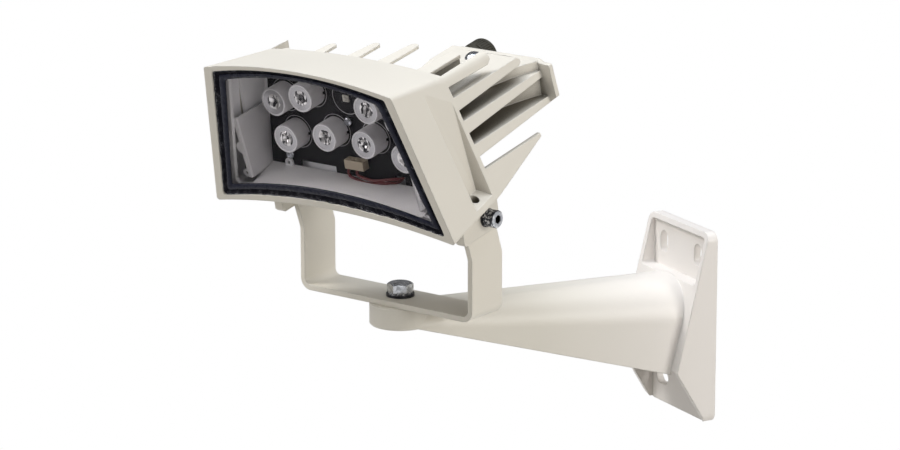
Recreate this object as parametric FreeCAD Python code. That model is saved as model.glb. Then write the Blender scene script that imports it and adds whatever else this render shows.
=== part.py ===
import FreeCAD, Part
import math
import os

V = FreeCAD.Vector

# All sizes are in millimetres and degrees.
# Row frame: origin on the wall face at the middle of the four wall slots,
# +Y into the wall, +Z up. The arm reaches out along -Y.

# Pose that the product is stored in
PAN = 23.8
TILT = 12.0

# Wall bracket casting
PLATE_WIDTH = 85.0
PLATE_TOP = 75.0
PLATE_BOTTOM = -75.0
PLATE_THICK = 6.0
PLATE_CORNER = 7.0
GUSSET_TOP_DEPTH = 7.5
GUSSET_DEPTH = 34.5
GUSSET_KNEE_Z = -31.5
GUSSET_FOOT_DEPTH = 8.0
GUSSET_WALL = 4.0
RIM_WIDTH = 4.5
LEDGE_Z = 34.5
LEDGE_THICK = 5.0
SLOT_SPACING_X = 48.0
HIGH_SLOT_Z = 54.0
SLOT_WIDTH = 10.5
SLOT_LENGTH = 17.0
LOW_SLOT_Z = -55.5
ARM_REACH = 250.0
ARM_TOP_Z = 45.5
BOSS_RADIUS = 23.0
BOSS_DEPTH = 17.0
BOSS_CHAMFER = 1.0
ARM_WALL = 4.0
ARM_ROOT_HALF = 34.5
ARM_ROOT_TOP_DROP = 9.3
ARM_ROOT_DEPTH = 88.5
ARM_ROOT_ROUND = 33.0
ARM_TIP_HALF = 22.6
ARM_TIP_DROP = 2.4
ARM_TIP_ROUND = 14.0
ARM_TIP_SETBACK = 3.0

# Pan bolt, an M10 hexagon screw
PAN_BOLT_D = 10.0
PAN_HEX_AF = 17.0
PAN_HEAD_H = 6.4
PAN_WASHER_D = 21.0
PAN_WASHER_T = 2.0
PAN_LOCK_D = 19.0
PAN_LOCK_T = 1.4
PAN_THREAD_DEPTH = 12.0
PAN_HOLE_CLEARANCE = 0.05

# Yoke, a bent flat bar
YOKE_WIDTH = 160.0
YOKE_STRIP = 36.0
YOKE_THICK = 4.0
YOKE_BEND_Z = 47.0
YOKE_BEND_R = 9.0
YOKE_LEAN = 20.0
YOKE_KNEE_R = 10.0
PIVOT_Z = 79.7
YOKE_END_R = 17.0

# Tilt screws, M8 socket heads
TILT_BOLT_D = 8.0
TILT_HEAD_D = 13.0
TILT_HEAD_H = 8.0
TILT_SOCKET_AF = 6.0
TILT_SOCKET_DEPTH = 4.5
TILT_WASHER_D = 14.0
TILT_WASHER_T = 1.6
TILT_LOCK_D = 13.4
TILT_LOCK_T = 1.0
TILT_NUT_AF = 13.0
TILT_NUT_H = 6.5
RUNNING_FIT = 0.05
SEAT_GAP = 0.1

# Head housing, in its own frame: tilt axis on X, +Y to the back, +Z up.
# The front plane leans forward, and heights H are measured along it.
LEAN = 8.5
LIP_HALF_TOP = 85.2
LIP_HALF_BOTTOM = 110.2
LIP_TOP_H = 127.0
LIP_BOTTOM_H = 9.5
LIP_SAG_TOP = 9.0
LIP_SAG_BOTTOM = 11.0
LIP_CORNER_R = 3.0
LIP_LOW_CORNER_R = 2.0
HOOD_CORNER_R = 6.0
LIP_Y = -63.2
HOOD_LENGTH = 64.0
HOOD_HALF_TOP = 80.4
HOOD_HALF_BOTTOM = 103.6
HOOD_TOP_H = 116.0
HOOD_BOTTOM_H = 17.0
HOOD_SAG_TOP = 5.0
HOOD_SAG_BOTTOM = 10.4
TAIL_LENGTH = 104.0
TAIL_TAPER = 0.5
TAIL_TOP_DROP = 4.0
HOUSING_WALL = 4.5
LOW_SIDE_WALL = 14.3
THIN_LOW_WALL = 6.0
ROOM_START = 12.0
ROOM_STEP = 27.0
ROOM_STEP_IN = 0.6
BOARD_FACE_Y = -27.0

# Window
LIP_TOP_RIM = 2.8
LIP_SIDE_RIM = 6.8
LIP_BOTTOM_RIM = 5.2
WINDOW_REBATE = 9.0
GLASS_THICK = 4.0
GLASS_RECESS = 1.6
GLASS_EDGE_GAP = 1.2
GLASS_LEDGE = 5.5
BEAD_INSET = 4.2
BEAD_WIDTH = 1.8
BEAD_PROUD = 0.8
SEAL_PROUD = 0.4

# Fins of the right-hand side: base low, base high, tip low, tip high, tip y
SIDE_FINS = (
    (87.5, 98.0, 92.0, 98.0, 66.5),
    (69.5, 79.8, 75.5, 80.5, 86.0),
    (50.8, 61.2, 56.5, 61.0, 86.0),
)
FIN_START_Y = -26.0
FIN_INNER_X = 64.0
CORNER_FIN_LOW = 107.0
CORNER_FIN_TIP_LOW = 105.0
CORNER_FIN_TIP_Y = 36.0
CORNER_FIN_X = (78.0, 75.0)
WEB_TOP = 42.0
WEB_TIP_Y = 62.5
WEB_TIP_HEIGHT = 3.0
WEB_MID = (16.0, 24.3)
LEFT_FIN_Y = 8.0
TOP_FINGER_PITCH = 31.5
TOP_FINGER_ROOT = 13.0
TOP_FINGER_TIP = 7.0
TOP_FINGER_THICK = 3.4
TOP_FINGER_TIPS = (-14.0, 1.0, 12.0, 22.0, 24.0)
FOURTH_FINGER_SHIFT = -4.0
LAST_FINGER_SHIFT = -1.0

# Core of the heat sink and the terminal box behind it
FAR = 200.0
CORE_HALF = 66.0
CORE_TOP = 75.0
CORE_BOTTOM = 41.0
CORE_FRONT_Y = -24.0
BOX_LEFT = 6.0
BOX_RIGHT = 84.0
BOX_BACK_Y = 88.0
BOX_TOP = 87.5
BOX_BOTTOM = 53.0
BOX_WALL = 3.5
BOX_FLAT_LENGTH = 28.0
FLANGE_THICK = 4.0
FLANGE_TOP_RIGHT = (95.8, 85.4)
FLANGE_RIGHT = (99.2, 61.0)
FLANGE_LOW_RIGHT = (91.3, 55.2)
GASKET_THICK = 1.0
COVER_THICK = 3.0
COVER_INSET = 1.5
COVER_CORNER = 5.0
COVER_SCREWS = ((54.5, 79.0), (75.5, 79.5), (54.5, 60.0), (75.5, 60.0))
ROOM_RIGHT = 46.0
ROOM_DEPTH = 22.0
DOME_SCREW_D = 12.0
DOME_SCREW_H = 3.6
DOME_SHANK_D = 6.0
EARTH_SCREW_SPOT = (35.5, 74.0)

# Cable gland on the rear cover
GLAND_X = 18.0
GLAND_Z = 74.8
GLAND_THREAD_D = 12.0
GLAND_HEX_AF = 22.0
GLAND_HEX_H = 5.0
GLAND_STEM = 8.0
GLAND_CAP_D = 23.5
GLAND_CAP_H = 14.0
GLAND_CAP_ROUND = 3.0
GLAND_BORE_D = 9.0
GLAND_RIBS = 36
GLAND_RIB_DEPTH = 0.5

# Side pockets: corners on the side face, then the two deep corners
POCKET_RIM = ((84.2, -45.7, 113.2), (85.7, -16.8, 91.3), (99.4, -9.0, 24.4), (103.0, -30.5, 21.6))
POCKET_DEEP = ((91.8, -12.4, 27.4), (94.0, -31.5, 25.8))
POCKET_HOLE_SPOT = (96.4, -21.5, 24.0)
POCKET_HOLE_D = 8.0
POCKET_HOLE_DEPTH = 7.0

# Lugs
LUG_THICK = 7.7
LUG_FRONT = 28.0
LUG_BACK = 15.0
LUG_DROP = 12.0
LUG_TOP = 24.0
LUG_CHAMFER = 2.0

# Light board
BOARD_THICK = 1.6
BOARD_POST_H = 3.0
BOARD_SIDE_GAP = 5.4
BOARD_LOW_SIDE_GAP = 11.9
BOARD_TOP_GAP = 4.0
BOARD_BOTTOM_GAP = 1.5
BOARD_NOTCHES = ((-52.0, -19.0, 36.5), (35.5, 44.5, 38.0))
FOOT_TAB_SPOT = (-62.0, 34.0)
FOOT_TAB_R = 3.4
FOOT_TAB_THICK = 2.0
LENS_D = 20.6
LENS_HEIGHT = 9.0
HOLDER_D = 21.6
HOLDER_HEIGHT = 14.0
LENS_INSET = 0.8
HOLDER_NOTCH = (2.6, 3.2, 1.6)
LENS_SPOTS = (
    (-56.3, 87.8), (-30.2, 94.5), (29.7, 94.0), (56.3, 87.8),
    (-49.9, 59.7), (-12.9, 66.2), (23.1, 66.0), (58.0, 60.3),
)
BARE_SPOT = (0.6, 93.3)
EMITTER_SIZE = 5.0
EMITTER_HEIGHT = 1.4
BOARD_SCREW_SPOTS = ((0.0, 75.4), (-60.1, 40.4), (60.1, 40.4))
PLUG_CENTRE = (3.7, 43.5)
PLUG_SIZE = (17.0, 6.5, 7.0)
WIRE_R = 0.7
WIRE_END_X = 40.0
LEAD_DROP = 8.5

# Shields beside the light board: a plate with a front flange and two screw ears
SHIELD_THICK = 1.5
SHIELD_CLEARANCE = 0.3
SHIELD_TOP = 78.0
SHIELD_BOTTOM = 28.0
SHIELD_HEEL = 10.0
SHIELD_HEEL_DROP = 4.5
SHIELD_SETBACK = 12.0
SHIELD_FLANGE = 3.2
SHIELD_EAR_R = 3.0
SHIELD_EAR_X = 4.4
SHIELD_EARS = (73.7, 31.5)
SHIELD_BUMP_Z = 53.0
SHIELD_BUMP_R = 5.2
SHIELD_HOLE_D = 2.8


# Frame helpers

def head_place(shape):
    """Turns a shape from the head's own frame into the row frame."""
    placed = shape.copy()
    placed.rotate(V(0, 0, 0), V(1, 0, 0), TILT)
    placed.translate(V(0, -pivot_setback(), PIVOT_Z))
    return yoke_place(placed)


def yoke_place(shape):
    """Turns a shape from the yoke's frame, on the pan axis, into the row frame."""
    placed = shape.copy()
    placed.rotate(V(0, 0, 0), V(0, 0, 1), PAN)
    placed.translate(V(0, -ARM_REACH, ARM_TOP_Z + SEAT_GAP))
    return placed


def pivot_setback():
    """Distance that the tilt axis lies in front of the pan axis."""
    return (PIVOT_Z - YOKE_BEND_Z) * math.tan(math.radians(YOKE_LEAN))


def cylinder(radius, height, base, axis):
    return Part.makeCylinder(radius, height, base, axis)


def box(low, high):
    return Part.makeBox(high[0] - low[0], high[1] - low[1], high[2] - low[2], V(*low))


def ring(outer_d, inner_d, thick, base, axis):
    return cylinder(outer_d / 2, thick, base, axis).cut(cylinder(inner_d / 2, thick, base, axis))


def polygon_prism(points, direction):
    """A prism from a list of corner points."""
    wire = Part.makePolygon([V(*p) for p in points] + [V(*points[0])])
    return Part.Face(wire).extrude(V(*direction))


def hexagon(across_flats, height, base, axis):
    """A hexagonal prism along a unit axis."""
    radius = across_flats / math.sqrt(3)
    side = V(0, 0, 1) if abs(axis.z) < 0.5 else V(1, 0, 0)
    other = axis.cross(side)
    corners = []
    for i in range(6):
        angle = math.radians(60 * i)
        corners.append(base + side * (radius * math.cos(angle)) + other * (radius * math.sin(angle)))
    wire = Part.makePolygon(corners + [corners[0]])
    return Part.Face(wire).extrude(axis * height)


def fuse_all(shapes):
    result = shapes[0]
    if len(shapes) > 1:
        result = shapes[0].multiFuse(shapes[1:])
    return result.removeSplitter()


# Wall bracket

def slot_prism(x, z, along, depth):
    """A slot cutter through the wall plate, centred on x and z."""
    half = (SLOT_LENGTH - SLOT_WIDTH) / 2
    radius = SLOT_WIDTH / 2
    ends = [cylinder(radius, depth, V(x, 1, z) + along * (s * half), V(0, -1, 0)) for s in (-1, 1)]
    wide = abs(along.x) * half + abs(along.z) * radius
    tall = abs(along.z) * half + abs(along.x) * radius
    return ends[0].multiFuse([ends[1], box((x - wide, 1 - depth, z - tall), (x + wide, 1, z + tall))])


def gusset_depth_at(z):
    """Depth of the sloping gusset edge in front of the wall at a height."""
    share = (PLATE_TOP - z) / (PLATE_TOP - GUSSET_KNEE_Z)
    return GUSSET_TOP_DEPTH + share * (GUSSET_DEPTH - GUSSET_TOP_DEPTH)


def wedge_profile(inset):
    """Side outline of the wall wedge, drawn in from its edges by an inset."""
    return [
        (0, PLATE_TOP), (-GUSSET_TOP_DEPTH + inset, PLATE_TOP),
        (-GUSSET_DEPTH + inset, GUSSET_KNEE_Z), (-GUSSET_FOOT_DEPTH + inset, PLATE_BOTTOM),
        (0, PLATE_BOTTOM),
    ]


def wedge_body():
    half = PLATE_WIDTH / 2
    outline = [(-half, y, z) for y, z in wedge_profile(0)]
    body = polygon_prism(outline, (PLATE_WIDTH, 0, 0))
    upright = [e for e in body.Edges if abs(e.BoundBox.XLength) < 1e-6 and e.BoundBox.ZLength < 0.1]
    corners = [e for e in upright if e.BoundBox.ZMin > PLATE_TOP - 1 or e.BoundBox.ZMax < PLATE_BOTTOM + 1]
    return body.makeFillet(PLATE_CORNER, corners)


def upper_pocket():
    """The recess above the ledge, which leaves a rim on three sides."""
    half = PLATE_WIDTH / 2 - RIM_WIDTH
    pocket = box((-half, -GUSSET_DEPTH - 1, LEDGE_Z), (half, -PLATE_THICK, PLATE_TOP - RIM_WIDTH))
    edges = [e for e in pocket.Edges if e.BoundBox.YLength > 1]
    return pocket.makeFillet(3.0, edges)


def lower_hollow():
    """The hollow behind the arm, open at the bottom."""
    half = PLATE_WIDTH / 2 - GUSSET_WALL
    wall = GUSSET_WALL
    high = LEDGE_Z - LEDGE_THICK
    points = [
        (-half, -PLATE_THICK, high), (-half, -gusset_depth_at(high) + wall, high),
        (-half, -GUSSET_DEPTH + wall, GUSSET_KNEE_Z), (-half, -GUSSET_DEPTH - 5, GUSSET_KNEE_Z),
        (-half, -GUSSET_DEPTH - 5, PLATE_BOTTOM - 5), (-half, -PLATE_THICK, PLATE_BOTTOM - 5),
    ]
    return polygon_prism(points, (2 * half, 0, 0))


def arch_wire(y, half_width, top_z, bottom_z, radius):
    """Upside-down U outline of the arm in a plane square to it."""
    spring = top_z - radius
    knee = math.sqrt(0.5)
    left_mid = V(-half_width + radius * (1 - knee), y, spring + radius * knee)
    right_mid = V(half_width - radius * (1 - knee), y, spring + radius * knee)
    left_low = V(-half_width, y, bottom_z)
    left_top = V(-half_width, y, spring)
    crown_l = V(-half_width + radius, y, top_z)
    crown_r = V(half_width - radius, y, top_z)
    right_top = V(half_width, y, spring)
    right_low = V(half_width, y, bottom_z)
    edges = [
        Part.LineSegment(left_low, left_top).toShape(),
        Part.Arc(left_top, left_mid, crown_l).toShape(),
        Part.LineSegment(crown_l, crown_r).toShape(),
        Part.Arc(crown_r, right_mid, right_top).toShape(),
        Part.LineSegment(right_top, right_low).toShape(),
        Part.LineSegment(right_low, left_low).toShape(),
    ]
    return Part.Wire(edges)


def arm_loft(inset, low_extra):
    """The tapering arm from the boss to the wall wedge."""
    near = -ARM_REACH + ARM_TIP_SETBACK
    far = -PLATE_THICK
    root_top = ARM_TOP_Z - ARM_ROOT_TOP_DROP - inset
    tip = arch_wire(near, ARM_TIP_HALF - inset, ARM_TOP_Z - ARM_TIP_DROP - inset,
                    ARM_TOP_Z - BOSS_DEPTH + 0.2 - low_extra, ARM_TIP_ROUND - inset)
    root = arch_wire(far, ARM_ROOT_HALF - inset, root_top,
                     ARM_TOP_Z - ARM_ROOT_DEPTH - low_extra, ARM_ROOT_ROUND - inset)
    return Part.makeLoft([tip, root], True, True)


def make_wall_bracket():
    body = wedge_body().cut(upper_pocket()).cut(lower_hollow())
    arm = arm_loft(0, 0)
    keep = polygon_prism(
        [(-PLATE_WIDTH, -ARM_REACH - 40, 200), (-PLATE_WIDTH, -ARM_REACH - 40, -200),
         (-PLATE_WIDTH, -GUSSET_DEPTH + 0.5, -200), (-PLATE_WIDTH, -GUSSET_DEPTH + 0.5, GUSSET_KNEE_Z),
         (-PLATE_WIDTH, -gusset_depth_at(PLATE_TOP) + 0.5, PLATE_TOP),
         (-PLATE_WIDTH, -gusset_depth_at(PLATE_TOP) + 0.5, 200)],
        (2 * PLATE_WIDTH, 0, 0))
    arm = arm.common(keep)
    boss = cylinder(BOSS_RADIUS, BOSS_DEPTH, V(0, -ARM_REACH, ARM_TOP_Z - BOSS_DEPTH), V(0, 0, 1))
    rims = [e for e in boss.Edges if isinstance(e.Curve, Part.Circle)]
    boss = boss.makeChamfer(BOSS_CHAMFER, rims)
    hollow = arm_loft(ARM_WALL, 20)
    start = -ARM_REACH + BOSS_RADIUS + 3
    hollow = hollow.common(box((-60, start, -120), (60, -PLATE_THICK, 120)))
    body = fuse_all([body, arm, boss])
    body = body.cut(hollow)
    for sx in (-1, 1):
        x = sx * SLOT_SPACING_X / 2
        body = body.cut(slot_prism(x, HIGH_SLOT_Z, V(0, 0, 1), PLATE_THICK + 3))
        body = body.cut(slot_prism(x, LOW_SLOT_Z, V(1, 0, 0), PLATE_THICK + 3))
    bore = cylinder(PAN_BOLT_D / 2, PAN_THREAD_DEPTH + 5, pan_point(ARM_TOP_Z - PAN_THREAD_DEPTH),
                    V(0, 0, 1))
    return body.cut(bore).removeSplitter()


# Pan joint hardware, stacked on the pan axis

def pan_point(z):
    return V(0, -ARM_REACH, z)


def pan_levels():
    """Heights of the faces of the pan stack, from the arm's top up."""
    yoke_top = ARM_TOP_Z + SEAT_GAP + YOKE_THICK + SEAT_GAP
    flat_top = yoke_top + PAN_WASHER_T
    lock_top = flat_top + PAN_LOCK_T
    return yoke_top, flat_top, lock_top


def toothed_ring(outer_d, inner_d, thick, teeth, base, axis):
    """A lock washer with small teeth round its rim."""
    disc = ring(outer_d, inner_d, thick, base, axis)
    side = V(0, 0, 1) if abs(axis.z) < 0.5 else V(1, 0, 0)
    notches = []
    for i in range(teeth):
        spin = FreeCAD.Rotation(axis, 360.0 / teeth * i)
        centre = base + spin.multVec(side) * (outer_d / 2 + 0.2)
        notches.append(cylinder(outer_d * 1.15 / teeth, thick, centre, axis))
    return disc.cut(notches[0].multiFuse(notches[1:]))


def make_pan_bolt():
    lock_top = pan_levels()[2]
    head = hexagon(PAN_HEX_AF, PAN_HEAD_H, pan_point(lock_top), V(0, 0, 1))
    dome = Part.makeCone(PAN_HEX_AF * 0.60 + PAN_HEAD_H * 1.8, PAN_HEX_AF * 0.47, PAN_HEAD_H,
                         pan_point(lock_top), V(0, 0, 1))
    head = head.common(dome)
    end = ARM_TOP_Z - PAN_THREAD_DEPTH
    shank = cylinder(PAN_BOLT_D / 2, lock_top - end, pan_point(end), V(0, 0, 1))
    return fuse_all([head, shank])


def make_pan_flat_washer():
    return ring(PAN_WASHER_D, PAN_BOLT_D, PAN_WASHER_T, pan_point(pan_levels()[0]), V(0, 0, 1))


def make_pan_lock_washer():
    return toothed_ring(PAN_LOCK_D, PAN_BOLT_D, PAN_LOCK_T, 14, pan_point(pan_levels()[1]), V(0, 0, 1))


# Yoke

def yoke_profile(inset):
    """Outline of the bent bar seen along its depth, as an open list of edges."""
    half = YOKE_WIDTH / 2 - inset
    radius = YOKE_BEND_R - inset
    low = inset
    knee = radius * (1 - math.sqrt(0.5))
    top = PIVOT_Z + YOKE_END_R + 10
    points = (V(-half, 0, top), V(-half, 0, low + radius), V(-half + knee, 0, low + knee),
              V(-half + radius, 0, low), V(half - radius, 0, low), V(half - knee, 0, low + knee),
              V(half, 0, low + radius), V(half, 0, top))
    return points


def yoke_bar():
    outer = yoke_profile(0)
    inner = yoke_profile(YOKE_THICK)
    edges = [
        Part.LineSegment(outer[0], outer[1]).toShape(), Part.Arc(outer[1], outer[2], outer[3]).toShape(),
        Part.LineSegment(outer[3], outer[4]).toShape(), Part.Arc(outer[4], outer[5], outer[6]).toShape(),
        Part.LineSegment(outer[6], outer[7]).toShape(), Part.LineSegment(outer[7], inner[7]).toShape(),
        Part.LineSegment(inner[7], inner[6]).toShape(), Part.Arc(inner[6], inner[5], inner[4]).toShape(),
        Part.LineSegment(inner[4], inner[3]).toShape(), Part.Arc(inner[3], inner[2], inner[1]).toShape(),
        Part.LineSegment(inner[1], inner[0]).toShape(), Part.LineSegment(inner[0], outer[0]).toShape(),
    ]
    face = Part.Face(Part.Wire(edges))
    face.translate(V(0, -60, 0))
    return face.extrude(V(0, 120, 0))


def yoke_side():
    """Side outline of the arms: upright, then leaning forward to a round end."""
    half = YOKE_STRIP / 2
    lean = math.radians(YOKE_LEAN)
    pivot = V(0, -pivot_setback(), PIVOT_Z)
    across = V(0, math.cos(lean), math.sin(lean)) * YOKE_END_R
    corners = [V(0, half, -1), V(0, half, YOKE_BEND_Z), pivot + across,
               pivot - across, V(0, -half, YOKE_BEND_Z), V(0, -half, -1)]
    side = Part.Face(Part.makePolygon(corners + [corners[0]]))
    return side.extrude(V(2 * YOKE_WIDTH, 0, 0)), pivot


def make_yoke():
    keep, pivot = yoke_side()
    keep.translate(V(-YOKE_WIDTH, 0, 0))
    knees = [e for e in keep.Edges if e.BoundBox.XLength > 1 and abs(e.BoundBox.ZMin - YOKE_BEND_Z) < 0.1]
    keep = keep.makeFillet(YOKE_KNEE_R, knees)
    start = V(-YOKE_WIDTH, pivot.y, pivot.z)
    keep = keep.fuse(cylinder(YOKE_END_R, 2 * YOKE_WIDTH, start, V(1, 0, 0)))
    yoke = yoke_bar().common(keep)
    hole = cylinder(PAN_BOLT_D / 2 + PAN_HOLE_CLEARANCE, 30, V(0, 0, -5), V(0, 0, 1))
    tilt = cylinder(TILT_BOLT_D / 2, 2 * YOKE_WIDTH, start, V(1, 0, 0))
    return yoke.cut(hole).cut(tilt).removeSplitter()


# Tilt hardware, on both sides, in the head's frame with the tilt axis on X

def tilt_levels():
    """Distances from the middle of the faces of the tilt stack."""
    arm = YOKE_WIDTH / 2
    lug_in = arm + SEAT_GAP
    lug_out = lug_in + LUG_THICK
    washer_in = lug_out + SEAT_GAP
    lock_in = washer_in + TILT_WASHER_T
    head_in = lock_in + TILT_LOCK_T
    return arm, lug_in, lug_out, washer_in, lock_in, head_in


def both_sides(maker):
    """Two solids, one for each side, from a maker that takes a direction."""
    return Part.makeCompound([maker(V(sx, 0, 0)) for sx in (-1, 1)])


def tilt_screw(way):
    arm, lug_in, lug_out, washer_in, lock_in, head_in = tilt_levels()
    head = cylinder(TILT_HEAD_D / 2, TILT_HEAD_H, way * head_in, way)
    outer = [e for e in head.Edges if abs(abs(e.CenterOfMass.x) - head_in - TILT_HEAD_H) < 0.01]
    head = head.makeChamfer(0.7, outer)
    socket = hexagon(TILT_SOCKET_AF, TILT_SOCKET_DEPTH,
                     way * (head_in + TILT_HEAD_H - TILT_SOCKET_DEPTH), way)
    inner = arm - YOKE_THICK - TILT_NUT_H - 2
    shank = cylinder(TILT_BOLT_D / 2, head_in - inner, way * inner, way)
    return fuse_all([head.cut(socket), shank])


def tilt_flat_washer(way):
    return ring(TILT_WASHER_D, TILT_BOLT_D, TILT_WASHER_T, way * tilt_levels()[3], way)


def tilt_lock_washer(way):
    return toothed_ring(TILT_LOCK_D, TILT_BOLT_D, TILT_LOCK_T, 12, way * tilt_levels()[4], way)


def tilt_nut(way):
    start = YOKE_WIDTH / 2 - YOKE_THICK - TILT_NUT_H
    nut = hexagon(TILT_NUT_AF, TILT_NUT_H, way * start, way)
    return nut.cut(cylinder(TILT_BOLT_D / 2, TILT_NUT_H, way * start, way))


def tilt_place(shape):
    """Puts tilt hardware on its axis in the yoke, unturned by the tilt."""
    placed = shape.copy()
    placed.translate(V(0, -pivot_setback(), PIVOT_Z))
    return yoke_place(placed)


# Head sections

def lean_point(x, h, y_ref):
    """A point of the leaning section plane at x and height h along it."""
    lean = math.radians(LEAN)
    return V(x, y_ref - h * math.sin(lean), h * math.cos(lean))


def section_wire(y_ref, half_top, half_bottom, top_h, bottom_h, sag_top, sag_bottom,
                 radius, low_radius=None):
    """Arched trapezium: two crowned edges and two flared sides with round corners."""
    low_radius = radius if low_radius is None else low_radius
    tl = lean_point(-half_top, top_h, y_ref)
    tr = lean_point(half_top, top_h, y_ref)
    bl = lean_point(-half_bottom, bottom_h, y_ref)
    br = lean_point(half_bottom, bottom_h, y_ref)
    top = Part.Arc(tl, lean_point(0, top_h + sag_top, y_ref), tr).toShape()
    bottom = Part.Arc(bl, lean_point(0, bottom_h + sag_bottom, y_ref), br).toShape()
    right = Part.LineSegment(tr, br).toShape()
    left = Part.LineSegment(bl, tl).toShape()
    face = Part.Face(Part.Wire([top, right, bottom, left]))
    if radius <= 0:
        return face.OuterWire
    slab = face.extrude(lean_normal())
    posts = [e for e in slab.Edges if isinstance(e.Curve, Part.Line) and parallel(e, lean_normal())]
    middle = (top_h + bottom_h) / 2
    rounded = slab.makeFillet(radius, [e for e in posts if e.BoundBox.ZMin > middle])
    posts = [e for e in rounded.Edges if isinstance(e.Curve, Part.Line) and parallel(e, lean_normal())]
    corner_x = half_bottom - 0.5
    rounded = rounded.makeFillet(low_radius, [e for e in posts if abs(e.CenterOfMass.x) > corner_x])
    plane_faces = [f for f in rounded.Faces if on_plane(f, y_ref)]
    return plane_faces[0].OuterWire


def lean_normal():
    lean = math.radians(LEAN)
    return V(0, math.cos(lean), math.sin(lean))


def parallel(edge, direction):
    way = edge.Vertexes[1].Point - edge.Vertexes[0].Point
    return way.cross(direction).Length < 1e-6 * way.Length


def on_plane(face, y_ref):
    return abs((face.CenterOfMass - V(0, y_ref, 0)).dot(lean_normal())) < 1e-6


def inset_section(y_ref, side, top, bottom, radius, depth=0.0, low_radius=None, low_side=None):
    """The lip's section drawn in by rims, at a distance behind the lip."""
    low_side = side * 1.1 if low_side is None else low_side
    share = depth / HOOD_LENGTH
    half_top = LIP_HALF_TOP + share * (HOOD_HALF_TOP - LIP_HALF_TOP)
    half_bottom = LIP_HALF_BOTTOM + share * (HOOD_HALF_BOTTOM - LIP_HALF_BOTTOM)
    top_h = LIP_TOP_H + share * (HOOD_TOP_H - LIP_TOP_H)
    bottom_h = LIP_BOTTOM_H + share * (HOOD_BOTTOM_H - LIP_BOTTOM_H)
    sag_top = LIP_SAG_TOP + share * (HOOD_SAG_TOP - LIP_SAG_TOP)
    sag_bottom = LIP_SAG_BOTTOM + share * (HOOD_SAG_BOTTOM - LIP_SAG_BOTTOM)
    return section_wire(y_ref + depth, half_top - side, half_bottom - low_side,
                        top_h - top, bottom_h + bottom, sag_top, sag_bottom, radius, low_radius)


def outer_envelope():
    """Hood and tail as one solid, before anything is cut."""
    front = inset_section(LIP_Y, 0, 0, 0, LIP_CORNER_R, 0.0, LIP_LOW_CORNER_R)
    back = inset_section(LIP_Y, 0, 0, 0, HOOD_CORNER_R, HOOD_LENGTH, LIP_LOW_CORNER_R)
    hood = Part.makeLoft([front, back], True, True)
    shrink = TAIL_TAPER
    tail_end = section_wire(LIP_Y + HOOD_LENGTH + TAIL_LENGTH, HOOD_HALF_TOP - shrink,
                            HOOD_HALF_BOTTOM - shrink, HOOD_TOP_H - TAIL_TOP_DROP, HOOD_BOTTOM_H,
                            HOOD_SAG_TOP, HOOD_SAG_BOTTOM, HOOD_CORNER_R, LIP_LOW_CORNER_R)
    tail = Part.makeLoft([back, tail_end], True, True)
    return hood, tail


def hood_cavity():
    """The room behind the glass, down to the face that carries the board."""
    wall = HOUSING_WALL
    mouth = window_slab(GLASS_LEDGE, GLASS_LEDGE * 0.6, GLASS_LEDGE, 4.0, 0.0, ROOM_START + 2)
    front = [inset_section(LIP_Y, wall, wall, wall, 4.0, depth, 4.0, THIN_LOW_WALL)
             for depth in (ROOM_START, ROOM_STEP)]
    deep_wall = wall + ROOM_STEP_IN
    deep = [inset_section(LIP_Y, deep_wall, deep_wall, deep_wall, 4.0, depth, 4.0, LOW_SIDE_WALL)
            for depth in (ROOM_STEP - 1, HOOD_LENGTH)]
    room = mouth.multiFuse([Part.makeLoft(front, True, True), Part.makeLoft(deep, True, True)])
    return room.common(box((-FAR, -FAR, -FAR), (FAR, BOARD_FACE_Y, FAR)))


def rebate():
    """The step in the lip that takes the glass and its sealant."""
    return window_slab(0, 0, 0, 2.5, -0.01, WINDOW_REBATE)


def side_fin(low0, high0, low1, high1, tip_y, inner_x):
    """One horizontal fin of the right side, thinner towards its tip."""
    nose = (high1 - low1) / 2
    points = [
        (inner_x, FIN_START_Y, low0), (inner_x, tip_y - nose, low1), (inner_x, tip_y, low1 + nose * 0.6),
        (inner_x, tip_y, high1 - nose * 0.6), (inner_x, tip_y - nose, high1), (inner_x, FIN_START_Y, high0),
    ]
    return polygon_prism(points, (FAR - inner_x, 0, 0))


def lower_web(inner_x, tip_y):
    """The lowest fin, a triangle that carries on the side wall to a point."""
    mid_y, mid_z = WEB_MID
    low = HOOD_BOTTOM_H - 6
    points = [(inner_x, FIN_START_Y, WEB_TOP), (inner_x, tip_y, WEB_TOP - 0.5)]
    points += [(inner_x, tip_y, WEB_TOP - WEB_TIP_HEIGHT)] if tip_y > mid_y else []
    points += [(inner_x, min(mid_y, tip_y), mid_z), (inner_x, -7, low + 6), (inner_x, FIN_START_Y, low)]
    return polygon_prism(points, (FAR - inner_x, 0, 0))


def mirrored(shape):
    return shape.mirror(V(0, 0, 0), V(1, 0, 0))


def skin(tail, thick):
    """The outer skin of the tail, from which the free fins are cut."""
    back = inset_section(LIP_Y, thick, thick, thick, 2.0, HOOD_LENGTH - 8)
    end = section_wire(LIP_Y + HOOD_LENGTH + TAIL_LENGTH + 8, HOOD_HALF_TOP - TAIL_TAPER - thick,
                       HOOD_HALF_BOTTOM - TAIL_TAPER - thick, HOOD_TOP_H - TAIL_TOP_DROP - thick,
                       HOOD_BOTTOM_H + thick, HOOD_SAG_TOP, HOOD_SAG_BOTTOM, 2.0)
    return tail.cut(Part.makeLoft([back, end], True, True))


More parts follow.
